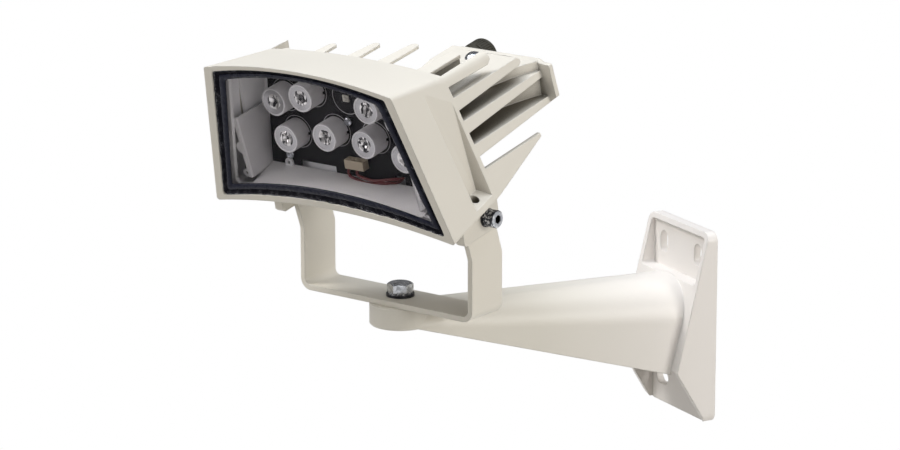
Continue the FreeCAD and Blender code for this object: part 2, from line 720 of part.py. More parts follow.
def top_finger(x, tip_y):
    """Plan outline of one finger of the top, as a tall prism."""
    root = TOP_FINGER_ROOT / 2
    tip = TOP_FINGER_TIP / 2
    start = V(x - root, -40, 60)
    edges = [
        Part.LineSegment(start, V(x - tip, tip_y - tip, 60)).toShape(),
        Part.Arc(V(x - tip, tip_y - tip, 60), V(x, tip_y, 60), V(x + tip, tip_y - tip, 60)).toShape(),
        Part.LineSegment(V(x + tip, tip_y - tip, 60), V(x + root, -40, 60)).toShape(),
        Part.LineSegment(V(x + root, -40, 60), start).toShape(),
    ]
    return Part.Face(Part.Wire(edges)).extrude(V(0, 0, 90))


def tail_fins(tail):
    """All fins and fingers that carry on the hood's surface to the back."""
    thin = skin(tail, TOP_FINGER_THICK)
    pieces = []
    for i, tip_y in enumerate(TOP_FINGER_TIPS):
        shift = FOURTH_FINGER_SHIFT if i == 3 else 0
        pieces.append(thin.common(top_finger((i - 2) * TOP_FINGER_PITCH + shift, tip_y)))
    last = top_finger(2 * TOP_FINGER_PITCH + LAST_FINGER_SHIFT, TOP_FINGER_TIPS[-1])
    pieces.append(tail.common(last.common(box((0, -FAR, CORE_TOP - 2), (FAR, FAR, FAR)))))
    corner = polygon_prism(
        [(60, FIN_START_Y, CORNER_FIN_LOW), (60, CORNER_FIN_TIP_Y - 4, CORNER_FIN_TIP_LOW),
         (60, CORNER_FIN_TIP_Y, CORNER_FIN_TIP_LOW + 3), (60, CORNER_FIN_TIP_Y, FAR),
         (60, FIN_START_Y, FAR)], (FAR, 0, 0))
    near_x, far_x = CORNER_FIN_X
    corner = corner.common(polygon_prism(
        [(near_x, FIN_START_Y, 50), (FAR, FIN_START_Y, 50), (FAR, CORNER_FIN_TIP_Y, 50),
         (far_x, CORNER_FIN_TIP_Y, 50)], (0, 0, FAR)))
    pieces.append(tail.common(corner))
    right = [side_fin(*fin, FIN_INNER_X) for fin in SIDE_FINS]
    left = [mirrored(side_fin(*fin[:4], LEFT_FIN_Y, FIN_INNER_X)) for fin in SIDE_FINS]
    left.append(mirrored(corner).common(box((-FAR, -FAR, 0), (0, LEFT_FIN_Y - 6, FAR))))
    pieces += [tail.common(fin) for fin in right + left]
    pieces.append(thin.common(lower_web(60, WEB_TIP_Y)))
    pieces.append(thin.common(mirrored(lower_web(60, LEFT_FIN_Y))))
    return pieces


def plan_face(points):
    """A flat face from corner points, where a third number marks the middle of an arc."""
    edges = []
    count = len(points)
    i = 0
    while i < count:
        here = V(*points[i][:2])
        after = points[(i + 1) % count]
        if len(after) == 3:
            last = V(*points[(i + 2) % count][:2])
            edges.append(Part.Arc(here, V(*after[:2]), last).toShape())
            i += 2
        else:
            edges.append(Part.LineSegment(here, V(*after[:2])).toShape())
            i += 1
    return Part.Face(Part.Wire(edges))


def heat_core():
    """The core flares out from behind the hood to the terminal box."""
    front = CORE_FRONT_Y
    box_front = BOX_BACK_Y - BOX_FLAT_LENGTH
    box_end = BOX_BACK_Y - FLANGE_THICK + 0.5
    plan = plan_face([
        (-CORE_HALF, front), (CORE_HALF, front), (CORE_HALF, 8), (CORE_HALF + 4, 46, "arc"),
        (BOX_RIGHT + 2, box_end), (BOX_LEFT, box_end), (BOX_LEFT, box_front),
        (BOX_LEFT - 12, 30, "arc"), (-CORE_HALF, 10),
    ])
    side = plan_face([
        (front, CORE_BOTTOM), (20, CORE_BOTTOM + 2), (BOX_BACK_Y, BOX_BOTTOM), (BOX_BACK_Y, BOX_TOP),
        (box_front, BOX_TOP), (box_front * 0.5, CORE_TOP + 4.5, "arc"), (0, CORE_TOP), (front, CORE_TOP),
    ])
    upright = side.extrude(V(0, 0, 300))
    upright.rotate(V(0, 0, 0), V(1, 1, 1), 120)
    upright.translate(V(-150, 0, 0))
    return plan.extrude(V(0, 0, 200)).common(upright)


def flange():
    y = BOX_BACK_Y - FLANGE_THICK
    corners = [(BOX_LEFT, BOX_BOTTOM), (BOX_LEFT, BOX_TOP), (BOX_RIGHT * 0.7, BOX_TOP + 0.6),
               FLANGE_TOP_RIGHT, FLANGE_RIGHT, FLANGE_LOW_RIGHT, (BOX_RIGHT, BOX_BOTTOM)]
    plate = polygon_prism([(x, y, z) for x, z in corners], (0, FLANGE_THICK, 0))
    rims = [e for e in plate.Edges if e.BoundBox.YLength > 1 and e.BoundBox.XMin > BOX_RIGHT + 1]
    return plate.makeFillet(1.5, rims)


def terminal_room():
    """The hollow of the terminal box, open at its back."""
    wall = BOX_WALL
    return box((BOX_LEFT + wall, BOX_BACK_Y - ROOM_DEPTH, BOX_BOTTOM + 2 * wall),
               (ROOM_RIGHT, BOX_BACK_Y + 1, BOX_TOP - wall))


def stretched(base, point, share):
    """A point carried on past itself, away from a base."""
    return point + (point - base) * share


def side_pocket():
    """The hollow in the side wall, a shallow ramp that ends on a ledge."""
    a, b, c, d = [V(*p) for p in POCKET_RIM]
    e, g = [V(*p) for p in POCKET_DEEP]
    ra = stretched(g, a, 0.15)
    rb = stretched(e, b, 0.15)
    rc = stretched(e, c, 0.6)
    rd = stretched(g, d, 0.6)
    corners = [(ra, g, e), (ra, e, rb), (rb, e, rc), (e, g, rd), (e, rd, rc), (g, ra, rd),
               (rb, rc, rd), (rb, rd, ra)]
    faces = [Part.Face(Part.makePolygon([p, q, r, p])) for p, q, r in corners]
    solid = Part.Solid(Part.Shell(faces))
    return solid if solid.Volume > 0 else solid.reversed()


def pocket_hole():
    x, y, z = POCKET_HOLE_SPOT
    return cylinder(POCKET_HOLE_D / 2, POCKET_HOLE_DEPTH + 6, V(x, y, z - POCKET_HOLE_DEPTH), V(0, 0, 1))


def lug(way):
    """A hanging ear that the tilt screw passes through."""
    levels = tilt_levels()
    low = min(way.x * levels[1], way.x * levels[2])
    ear = box((low, -LUG_FRONT, -LUG_DROP), (low + LUG_THICK, LUG_BACK, LUG_TOP))
    keep = [e for e in ear.Edges if e.BoundBox.XLength > 1 and e.BoundBox.ZMax < -LUG_DROP + 1]
    return ear.makeChamfer(LUG_CHAMFER, keep)


def foot_tab():
    """A small upright ear on the floor in front of the light board, with a hole."""
    x, z = FOOT_TAB_SPOT
    y = board_front() - FOOT_TAB_THICK - 0.3
    way = V(0, 1, 0)
    post = box((x - FOOT_TAB_R, y, LIP_BOTTOM_H + 8), (x + FOOT_TAB_R, y + FOOT_TAB_THICK, z))
    post = post.fuse(cylinder(FOOT_TAB_R, FOOT_TAB_THICK, V(x, y, z), way))
    return post.cut(cylinder(FOOT_TAB_R * 0.4, FOOT_TAB_THICK, V(x, y, z), way))


def make_head_housing():
    hood, tail = outer_envelope()
    pieces = [hood] + tail_fins(tail) + [heat_core(), flange()] + [lug(V(sx, 0, 0)) for sx in (-1, 1)]
    body = pieces[0].multiFuse(pieces[1:])
    body = body.cut(hood_cavity()).cut(rebate()).cut(terminal_room())
    body = body.fuse(foot_tab())
    for cutter in (side_pocket(), pocket_hole()):
        body = body.cut(cutter).cut(mirrored(cutter))
    bore = cylinder(TILT_BOLT_D / 2 + RUNNING_FIT, 400, V(-200, 0, 0), V(1, 0, 0))
    body = body.cut(bore)
    x, y = EARTH_SCREW_SPOT
    body = body.cut(cylinder(DOME_SHANK_D / 2, 30, V(x, y, BOX_TOP - 9), V(0, 0, 1)))
    for x, z in COVER_SCREWS:
        body = body.cut(cylinder(DOME_SHANK_D / 2, 9, V(x, BOX_BACK_Y - 8, z), V(0, 1, 0)))
    for x, z in BOARD_SCREW_SPOTS:
        body = body.cut(cylinder(1.5, 6, V(x, BOARD_FACE_Y - 1, z), V(0, 1, 0)))
    return body.removeSplitter()


# Rear cover, its screws and the cable gland

def cover_plate(start, thick, inset):
    """A plate over the terminal box with holes for its screws and the gland."""
    plate = box((BOX_LEFT + inset, start, BOX_BOTTOM + inset),
                (BOX_RIGHT + 4 - inset, start + thick, BOX_TOP - inset))
    way = V(0, 1, 0)
    plate = plate.makeFillet(COVER_CORNER, [e for e in plate.Edges if parallel(e, way)])
    for x, z in COVER_SCREWS:
        plate = plate.cut(cylinder(DOME_SHANK_D / 2, thick, V(x, start, z), way))
    return plate.cut(cylinder(GLAND_THREAD_D / 2, thick, V(GLAND_X, start, GLAND_Z), way))


def make_rear_gasket():
    return cover_plate(BOX_BACK_Y, GASKET_THICK, COVER_INSET + 0.4)


def make_rear_cover():
    return cover_plate(BOX_BACK_Y + GASKET_THICK, COVER_THICK, COVER_INSET)


def cover_face_y():
    return BOX_BACK_Y + GASKET_THICK + COVER_THICK


def dome_screw(base, way, shank):
    """A round-headed screw with a cross recess, built upright and then turned."""
    radius = DOME_SCREW_D / 2
    ball = (radius * radius + DOME_SCREW_H * DOME_SCREW_H) / (2 * DOME_SCREW_H)
    up = V(0, 0, 1)
    head = Part.makeSphere(ball, V(0, 0, DOME_SCREW_H - ball))
    head = head.common(cylinder(radius, DOME_SCREW_H, V(0, 0, 0), up))
    for turn in (45, 135):
        bar = box((-2.6, -0.5, DOME_SCREW_H - 1.6), (2.6, 0.5, DOME_SCREW_H + 1))
        bar.rotate(V(0, 0, 0), up, turn)
        head = head.cut(bar)
    screw = fuse_all([head, cylinder(DOME_SHANK_D / 2, shank, V(0, 0, -shank), up)])
    screw.rotate(V(0, 0, 0), V(1, 0, 0), -90 if way.y > 0.5 else 0)
    screw.translate(base)
    return screw


def make_cover_screws():
    y = cover_face_y()
    return Part.makeCompound([dome_screw(V(x, y, z), V(0, 1, 0), 9.0) for x, z in COVER_SCREWS])


def make_earth_screw():
    x, y = EARTH_SCREW_SPOT
    return dome_screw(V(x, y, BOX_TOP), V(0, 0, 1), 9.0)


def gland_point(offset):
    return V(GLAND_X, cover_face_y() + offset, GLAND_Z)


def make_gland_body():
    """The fixed half of the gland: a thread through the cover and a hexagon."""
    way = V(0, 1, 0)
    length = COVER_THICK + GASKET_THICK + GLAND_STEM
    stem = cylinder(GLAND_THREAD_D / 2, length, gland_point(-length), way)
    collar = hexagon(GLAND_HEX_AF, GLAND_HEX_H, gland_point(0), way)
    collar = collar.common(cylinder(GLAND_HEX_AF * 0.545, GLAND_HEX_H, gland_point(0), way))
    body = fuse_all([stem, collar])
    return body.cut(cylinder(GLAND_BORE_D / 2, 40, gland_point(-20), way))


def make_gland_cap():
    way = V(0, 1, 0)
    radius = GLAND_CAP_D / 2
    cap = cylinder(radius, GLAND_CAP_H, gland_point(GLAND_HEX_H), way)
    rim = [e for e in cap.Edges if e.CenterOfMass.y > gland_point(GLAND_HEX_H + GLAND_CAP_H - 0.5).y]
    cap = cap.makeFillet(GLAND_CAP_ROUND, rim)
    grooves = []
    for i in range(GLAND_RIBS):
        turn = math.radians(360.0 / GLAND_RIBS * i)
        spot = gland_point(GLAND_HEX_H + 1.5) + V(math.cos(turn), 0, math.sin(turn)) * (radius + 0.2)
        grooves.append(cylinder(GLAND_RIB_DEPTH + 0.2, GLAND_CAP_H - 6, spot, way))
    cap = cap.cut(grooves[0].multiFuse(grooves[1:]))
    return cap.cut(cylinder(GLAND_BORE_D / 2, GLAND_CAP_H, gland_point(GLAND_HEX_H), way))


def make_gland_seal():
    """The closed rubber plug in the bore of the gland."""
    way = V(0, 1, 0)
    return cylinder(GLAND_BORE_D / 2, GLAND_CAP_H + GLAND_HEX_H - 2.5, gland_point(1), way)


# Window pieces

def window_slab(side, top, bottom, radius, start, thick):
    """A slab across the window whose edges follow the hood's walls."""
    ends = [inset_section(LIP_Y, LIP_SIDE_RIM + side, LIP_TOP_RIM + top, LIP_BOTTOM_RIM + bottom,
                          radius, depth) for depth in (start, start + thick)]
    return Part.makeLoft(ends, True, True)


def make_window_glass():
    gap = GLASS_EDGE_GAP
    return window_slab(gap, gap, gap, 2.0, WINDOW_REBATE - GLASS_THICK - 0.6, GLASS_THICK)


def make_window_sealant():
    """Black sealant round and over the edge of the glass, back to the ledge."""
    gap = GLASS_EDGE_GAP
    rim = window_slab(0, 0, 0, 2.5, GLASS_RECESS, WINDOW_REBATE - GLASS_RECESS)
    rim = rim.cut(make_window_glass())
    clear = window_slab(GLASS_LEDGE + 3, GLASS_LEDGE * 0.6 + 2, GLASS_LEDGE + 2.5, 6.0,
                        -1, WINDOW_REBATE + 2)
    return rim.cut(clear)


def make_window_bead():
    start = GLASS_RECESS - BEAD_PROUD
    inset = BEAD_INSET
    within = inset + BEAD_WIDTH
    outer = window_slab(inset, inset * 0.6, inset, 3.0, start, BEAD_PROUD)
    inner = window_slab(within, inset * 0.6 + BEAD_WIDTH, within, 2.0, start, BEAD_PROUD)
    return outer.cut(inner)


# Light board and what it carries

def board_front():
    return BOARD_FACE_Y - BOARD_POST_H - BOARD_THICK


def make_led_board():
    """The board fills the back of the room, with notches at its foot."""
    y = board_front()
    wall = HOUSING_WALL + ROOM_STEP_IN
    board = box((-FAR, y, 0), (FAR, y + BOARD_THICK, FAR))
    for side, low_side in ((BOARD_SIDE_GAP, BOARD_LOW_SIDE_GAP), (0, 0)):
        ends = [inset_section(LIP_Y, wall + side, wall + BOARD_TOP_GAP, wall + BOARD_BOTTOM_GAP,
                              3.0, depth, 3.0, LOW_SIDE_WALL + low_side)
                for depth in (ROOM_STEP, HOOD_LENGTH)]
        board = board.common(Part.makeLoft(ends, True, True))
    for low_x, high_x, top_z in BOARD_NOTCHES:
        board = board.cut(box((low_x, y, 0), (high_x, y + BOARD_THICK, top_z)))
    for x, z in BOARD_SCREW_SPOTS:
        board = board.cut(cylinder(1.5, BOARD_THICK, V(x, y, z), V(0, 1, 0)))
    return board


def at_lens_spots(maker):
    return Part.makeCompound([maker(x, z) for x, z in LENS_SPOTS])


def lens_holder(x, z):
    """A round cup with three feet, open at the front for the lens."""
    y = board_front()
    body = cylinder(HOLDER_D / 2, HOLDER_HEIGHT, V(x, y, z), V(0, -1, 0))
    seat = cylinder(LENS_D / 2 - LENS_INSET, LENS_HEIGHT, V(x, y - HOLDER_HEIGHT, z), V(0, 1, 0))
    throat = Part.makeCone(LENS_D / 2 - LENS_INSET, 3.6, HOLDER_HEIGHT - LENS_HEIGHT,
                           V(x, y - HOLDER_HEIGHT + LENS_HEIGHT, z), V(0, 1, 0))
    body = body.cut(seat).cut(throat)
    wide, high, deep = HOLDER_NOTCH
    for turn in (0, 120, 240):
        notch = box((HOLDER_D / 2 - deep, -high, -wide / 2), (HOLDER_D / 2 + 1, 0, wide / 2))
        notch.rotate(V(0, 0, 0), V(0, 1, 0), turn)
        notch.translate(V(x, y, z))
        body = body.cut(notch)
    return body


def lens(x, z):
    """A clear collimator with a shallow dish in its face."""
    y = board_front() - HOLDER_HEIGHT
    radius = LENS_D / 2 - LENS_INSET
    flange = cylinder(radius, 2.0, V(x, y + 0.3, z), V(0, 1, 0))
    cone = Part.makeCone(radius - 0.6, 4.0, LENS_HEIGHT - 2.3, V(x, y + 2.3, z), V(0, 1, 0))
    dish = Part.makeCone(radius * 0.45, 1.2, 3.0, V(x, y + 0.2, z), V(0, 1, 0))
    return fuse_all([flange, cone]).cut(dish)


def emitter(x, z):
    y = board_front()
    half = EMITTER_SIZE / 2
    base = box((x - half, y - EMITTER_HEIGHT, z - half), (x + half, y, z + half))
    dome = Part.makeSphere(1.8, V(x, y - EMITTER_HEIGHT, z)).common(
        box((x - 3, y - 6, z - 3), (x + 3, y - EMITTER_HEIGHT + 0.2, z + 3)))
    return fuse_all([base, dome])


def make_led_emitters():
    spots = list(LENS_SPOTS) + [BARE_SPOT]
    return Part.makeCompound([emitter(x, z) for x, z in spots])


def board_screw(x, z):
    y = board_front()
    head = cylinder(2.9, 2.2, V(x, y, z), V(0, -1, 0))
    rim = [e for e in head.Edges if e.CenterOfMass.y < y - 2.1]
    head = head.makeFillet(1.0, rim)
    slot = box((x - 2, y - 2.5, z - 0.4), (x + 2, y - 1.3, z + 0.4))
    cross = box((x - 0.4, y - 2.5, z - 2), (x + 0.4, y - 1.3, z + 2))
    shank = cylinder(1.5, BOARD_THICK + BOARD_POST_H + 4, V(x, y, z), V(0, 1, 0))
    return fuse_all([head.cut(slot).cut(cross), shank])


def make_board_screws():
    return Part.makeCompound([board_screw(x, z) for x, z in BOARD_SCREW_SPOTS])


def make_board_posts():
    posts = []
    for x, z in BOARD_SCREW_SPOTS:
        posts.append(ring(7.0, 3.0, BOARD_POST_H, V(x, BOARD_FACE_Y - BOARD_POST_H, z), V(0, 1, 0)))
    return Part.makeCompound(posts)


def make_board_plug():
    """The connector of the supply leads, on the face of the board."""
    x, z = PLUG_CENTRE
    wide, deep, tall = PLUG_SIZE
    y = board_front()
    shell = box((x - wide / 2, y - deep, z - tall / 2), (x + wide / 2, y, z + tall / 2))
    top = z + tall / 2
    for dx in (-5.0, 0.0, 5.0):
        shell = shell.cut(box((x + dx - 0.8, y - deep + 1.2, top - 1.2), (x + dx + 0.8, y - deep + 4, top)))
    return shell


def tube(points, radius):
    """A round lead along straight runs that tangent arcs join."""
    path = [V(*p) for p in points]
    edges = []
    start = path[0]
    for i in range(1, len(path) - 1):
        before = (path[i - 1] - path[i])
        after = (path[i + 1] - path[i])
        trim = 0.45 * min(before.Length, after.Length)
        into = path[i] + before.normalize() * trim
        out = path[i] + after.normalize() * trim
        half = math.acos(max(-1.0, min(1.0, before.dot(after)))) / 2
        bisector = (before + after).normalize()
        centre = path[i] + bisector * (trim / math.cos(half))
        middle = centre - bisector * (trim * math.tan(half))
        edges.append(Part.LineSegment(start, into).toShape())
        edges.append(Part.Arc(into, middle, out).toShape())
        start = out
    edges.append(Part.LineSegment(start, path[-1]).toShape())
    circle = Part.Wire([Part.Circle(path[0], path[1] - path[0], radius).toShape()])
    return Part.Wire(edges).makePipeShell([circle], True, True)


def supply_lead(side):
    """One of the two leads, from the plug under the board to the back wall."""
    x, z = PLUG_CENTRE
    y = board_front() - PLUG_SIZE[1] / 2
    low = z - PLUG_SIZE[2] / 2
    shift = 2.0 * side
    start = x - 4 + shift * 2
    end = WIRE_END_X + shift
    drop = LEAD_DROP
    end_z = low - drop * 0.6 + shift * 0.9
    points = [
        (start, y, low),
        (start, y - drop * 0.1, low - drop * 0.7 + shift * 0.4),
        (x + drop * 1.4 + shift, y - drop * 0.3 + shift * 0.5, low - drop + shift * 0.5),
        (end - drop * 0.7, y - drop * 0.1, end_z),
        (end, y + drop * 0.3, end_z),
        (end, BOARD_FACE_Y, end_z),
    ]
    return tube(points, WIRE_R)


def make_supply_leads():
    return Part.makeCompound([supply_lead(side) for side in (-1, 1)])


def room_half(z, y):
    """Half width of the deep part of the room at a height and depth."""
    lean = math.radians(LEAN)
    wall = HOUSING_WALL + ROOM_STEP_IN
    h = z / math.cos(lean)
    share = (y - LIP_Y + h * math.sin(lean)) / HOOD_LENGTH
    half_top = LIP_HALF_TOP + share * (HOOD_HALF_TOP - LIP_HALF_TOP) - wall
    half_bottom = LIP_HALF_BOTTOM + share * (HOOD_HALF_BOTTOM - LIP_HALF_BOTTOM) - LOW_SIDE_WALL
    top = LIP_TOP_H + share * (HOOD_TOP_H - LIP_TOP_H) - wall
    bottom = LIP_BOTTOM_H + share * (HOOD_BOTTOM_H - LIP_BOTTOM_H) + wall
    return half_top + (top - h) / (top - bottom) * (half_bottom - half_top)


def shield_edge_y(z):
    """The shields' front edge runs along the leaning glass."""
    return LIP_Y + SHIELD_SETBACK - z * math.tan(math.radians(LEAN))


def shield_right():
    """A plate beside the board, whose front flange turns outwards and has ears."""
    outer = room_half(SHIELD_TOP, BOARD_FACE_Y) - SHIELD_CLEARANCE
    inner = outer - SHIELD_THICK
    back = BOARD_FACE_Y
    heel = SHIELD_BOTTOM - SHIELD_HEEL_DROP
    corners = [(shield_edge_y(SHIELD_TOP), SHIELD_TOP), (back, SHIELD_TOP), (back, heel),
               (back - SHIELD_HEEL, heel), (back - SHIELD_HEEL, SHIELD_BOTTOM),
               (shield_edge_y(SHIELD_BOTTOM), SHIELD_BOTTOM)]
    plate = polygon_prism([(inner, y, z) for y, z in corners], (SHIELD_THICK, 0, 0))
    way = V(0, 1, 0)
    flange = box((inner, 0, SHIELD_BOTTOM), (inner + SHIELD_FLANGE, SHIELD_THICK, SHIELD_TOP))
    hole_x = inner + SHIELD_EAR_X
    for z in SHIELD_EARS:
        flange = flange.fuse(cylinder(SHIELD_EAR_R, SHIELD_THICK, V(hole_x, 0, z), way))
    bump = cylinder(SHIELD_BUMP_R, SHIELD_THICK, V(inner + SHIELD_FLANGE * 0.6, 0, SHIELD_BUMP_Z), way)
    flange = flange.fuse(bump.common(box((inner, 0, 0), (FAR, SHIELD_THICK, FAR))))
    for z in SHIELD_EARS:
        flange = flange.cut(cylinder(SHIELD_HOLE_D / 2, SHIELD_THICK, V(hole_x, 0, z), way))
    lean = FreeCAD.Matrix()
    lean.A23 = -math.tan(math.radians(LEAN))
    flange = flange.transformGeometry(lean)
    flange.translate(V(0, LIP_Y + SHIELD_SETBACK, 0))
    return plate.fuse(flange).removeSplitter()


# Output

def save(name, shape):
    shape.exportStep("parts/" + name + ".step")
    size = shape.BoundBox
    print(name, "solids", len(shape.Solids), "valid", shape.isValid(), "volume", round(shape.Volume),
          "x", round(size.XMin, 1), round(size.XMax, 1), "y", round(size.YMin, 1), round(size.YMax, 1),
          "z", round(size.ZMin, 1), round(size.ZMax, 1))


def main():
    os.makedirs("parts", exist_ok=True)
    save("wall_bracket", make_wall_bracket())
    save("pan_bolt", make_pan_bolt())
    save("pan_flat_washer", make_pan_flat_washer())
    save("pan_lock_washer", make_pan_lock_washer())
    save("yoke", yoke_place(make_yoke()))
    save("tilt_screws", tilt_place(both_sides(tilt_screw)))
    save("tilt_flat_washers", tilt_place(both_sides(tilt_flat_washer)))
    save("tilt_lock_washers", tilt_place(both_sides(tilt_lock_washer)))
    save("tilt_nuts", tilt_place(both_sides(tilt_nut)))
    save("head_housing", head_place(make_head_housing()))
    save("window_glass", head_place(make_window_glass()))
    save("window_sealant", head_place(make_window_sealant()))
    save("window_bead", head_place(make_window_bead()))
    save("led_board", head_place(make_led_board()))
    save("lens_holders", head_place(at_lens_spots(lens_holder)))
    save("lenses", head_place(at_lens_spots(lens)))
    save("led_emitters", head_place(make_led_emitters()))
    save("board_screws", head_place(make_board_screws()))
    save("board_posts", head_place(make_board_posts()))
    save("board_plug", head_place(make_board_plug()))
    save("supply_leads", head_place(make_supply_leads()))
    save("shield_left", head_place(mirrored(shield_right())))
    save("shield_right", head_place(shield_right()))
    save("rear_gasket", head_place(make_rear_gasket()))
    save("rear_cover", head_place(make_rear_cover()))
    save("cover_screws", head_place(make_cover_screws()))
    save("earth_screw", head_place(make_earth_screw()))
    save("gland_body", head_place(make_gland_body()))
    save("gland_cap", head_place(make_gland_cap()))
    save("gland_seal", head_place(make_gland_seal()))


main()
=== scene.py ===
# %% [markdown]
# # A wall-mounted infrared illuminator
#
# The lamp is a cast, finned housing with a window of lenses. A bent yoke carries it on a hollow
# wall arm. The solid model gives every piece its exact size and place. This lesson adds the
# looks: the powder coat, the seal, the glass, the lenses behind it, the light and the camera.

# %% Load the solid model
import math

import bpy
from mathutils import Matrix, Vector, noise


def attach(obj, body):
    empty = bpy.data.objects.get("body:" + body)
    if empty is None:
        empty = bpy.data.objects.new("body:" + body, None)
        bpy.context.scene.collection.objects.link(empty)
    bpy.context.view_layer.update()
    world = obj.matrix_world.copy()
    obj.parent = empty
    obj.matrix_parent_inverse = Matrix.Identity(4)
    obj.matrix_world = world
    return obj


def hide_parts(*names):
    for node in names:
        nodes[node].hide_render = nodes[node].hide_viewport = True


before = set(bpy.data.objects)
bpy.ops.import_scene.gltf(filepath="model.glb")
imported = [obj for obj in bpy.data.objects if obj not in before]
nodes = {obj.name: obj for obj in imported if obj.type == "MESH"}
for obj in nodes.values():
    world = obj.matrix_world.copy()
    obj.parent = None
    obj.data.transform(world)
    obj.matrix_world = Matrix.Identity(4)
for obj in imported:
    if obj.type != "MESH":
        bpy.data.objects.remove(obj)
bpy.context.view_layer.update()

# %% [markdown]
# ## Where the head sits
#
# The head is modelled level and straight, then turned about its side screws and panned about the
# arm's bolt. One matrix holds both turns. A small piece can then be placed in the head's own
# plain directions (across, back, up) and sent to its place at the end. The yoke's sides lean
# forwards above a knee, which brings the screws in front of the bolt.

# %% The head's matrix
PAN = math.radians(23.8)
TILT = math.radians(12.0)
LEAN = math.radians(8.5)  # the window's lean
YOKE_LEAN = math.radians(20)
KNEE_TO_SCREWS = 0.0327
SCREWS_HEIGHT = 0.0797
ARM_END = Vector((0, -0.250, 0.0456))
PIVOT = Vector((0, -KNEE_TO_SCREWS * math.tan(YOKE_LEAN), SCREWS_HEIGHT))
YOKE = Matrix.Translation(ARM_END) @ Matrix.Rotation(PAN, 4, "Z")
HEAD = YOKE @ Matrix.Translation(PIVOT) @ Matrix.Rotation(TILT, 4, "X")
print("tilt axis at", [round(v, 4) for v in HEAD.translation])

# %% [markdown]
# ## The camera
#
# The photograph was taken with a long lens from the lamp's front right, a little above it. A
# long lens keeps the arm and the head from shrinking towards the back, so the distance and the
# focal length have to be right together. Both were worked out from edges of known length. The
# camera stands at that distance, moved a little right and up to frame the lamp as it is there.

# %% Camera
CAMERA_TURN = math.radians(61.18)
CAMERA_RISE = math.radians(14.63)
CAMERA_ROLL = math.radians(-0.05)
CAMERA_AIM = Vector((0, -0.25012, 0.0455))
SHIFT_RIGHT, SHIFT_UP, DISTANCE = 0.0368, 0.0558, 2.824
FOCAL_LENGTH, SENSOR_WIDTH = 153.1, 36.0

flat_reach = math.cos(CAMERA_RISE)
view_back = Vector((math.sin(CAMERA_TURN) * flat_reach, -math.cos(CAMERA_TURN) * flat_reach,
                    math.sin(CAMERA_RISE)))
view_right = Vector((math.cos(CAMERA_TURN), math.sin(CAMERA_TURN), 0))
view_up = view_back.cross(view_right)
stand = CAMERA_AIM + view_right * SHIFT_RIGHT + view_up * SHIFT_UP + view_back * DISTANCE
axes = Matrix((view_right, view_up, view_back)).transposed().to_4x4()

camera_data = bpy.data.cameras.new("camera")
camera_data.lens = FOCAL_LENGTH
camera_data.sensor_width = SENSOR_WIDTH
camera = bpy.data.objects.new("camera", camera_data)
camera.matrix_world = Matrix.Translation(stand) @ axes @ Matrix.Rotation(CAMERA_ROLL, 4, "Z")
bpy.context.scene.collection.objects.link(camera)
bpy.context.scene.camera = camera
print("camera at", [round(v, 3) for v in stand])

# %% [markdown]
# ## Writing materials as sums
#
# A procedural finish is arithmetic on coordinates. `Socket` wraps an output of a node, so that
# `noise * 0.2 + 0.4` adds the Math nodes by itself.

# %% Sockets that add up
class Socket:
    """An output of a node that takes part in sums."""

    def __init__(self, finish, link):
        self.finish = finish
        self.link = link

    def math(self, operation, *others):
        """Any Math node, by its operation's name."""
        return self.finish.node("ShaderNodeMath", {"operation": operation}, (self, *others))

    def __add__(self, other):
        return self.math("ADD", other)

    __radd__ = __add__

    def __mul__(self, other):
        return self.math("MULTIPLY", other)

    __rmul__ = __mul__

    def __sub__(self, other):
        return self.math("SUBTRACT", other)

    def __rsub__(self, other):
        return self.finish.node("ShaderNodeMath", {"operation": "SUBTRACT"}, (other, self))


print("sockets add up")

# %% [markdown]
# ## A finish under construction
#
# `Finish.node` adds any node from its type, its settings and the values of its sockets. The
# other methods are short names for nodes that come back often: noise, a blend of two colours, a
# step between two levels, a bump. Every pattern reads Object coordinates. The pieces all sit at
# the origin, so those are places on the lamp at rest, and a pattern moves with its piece.

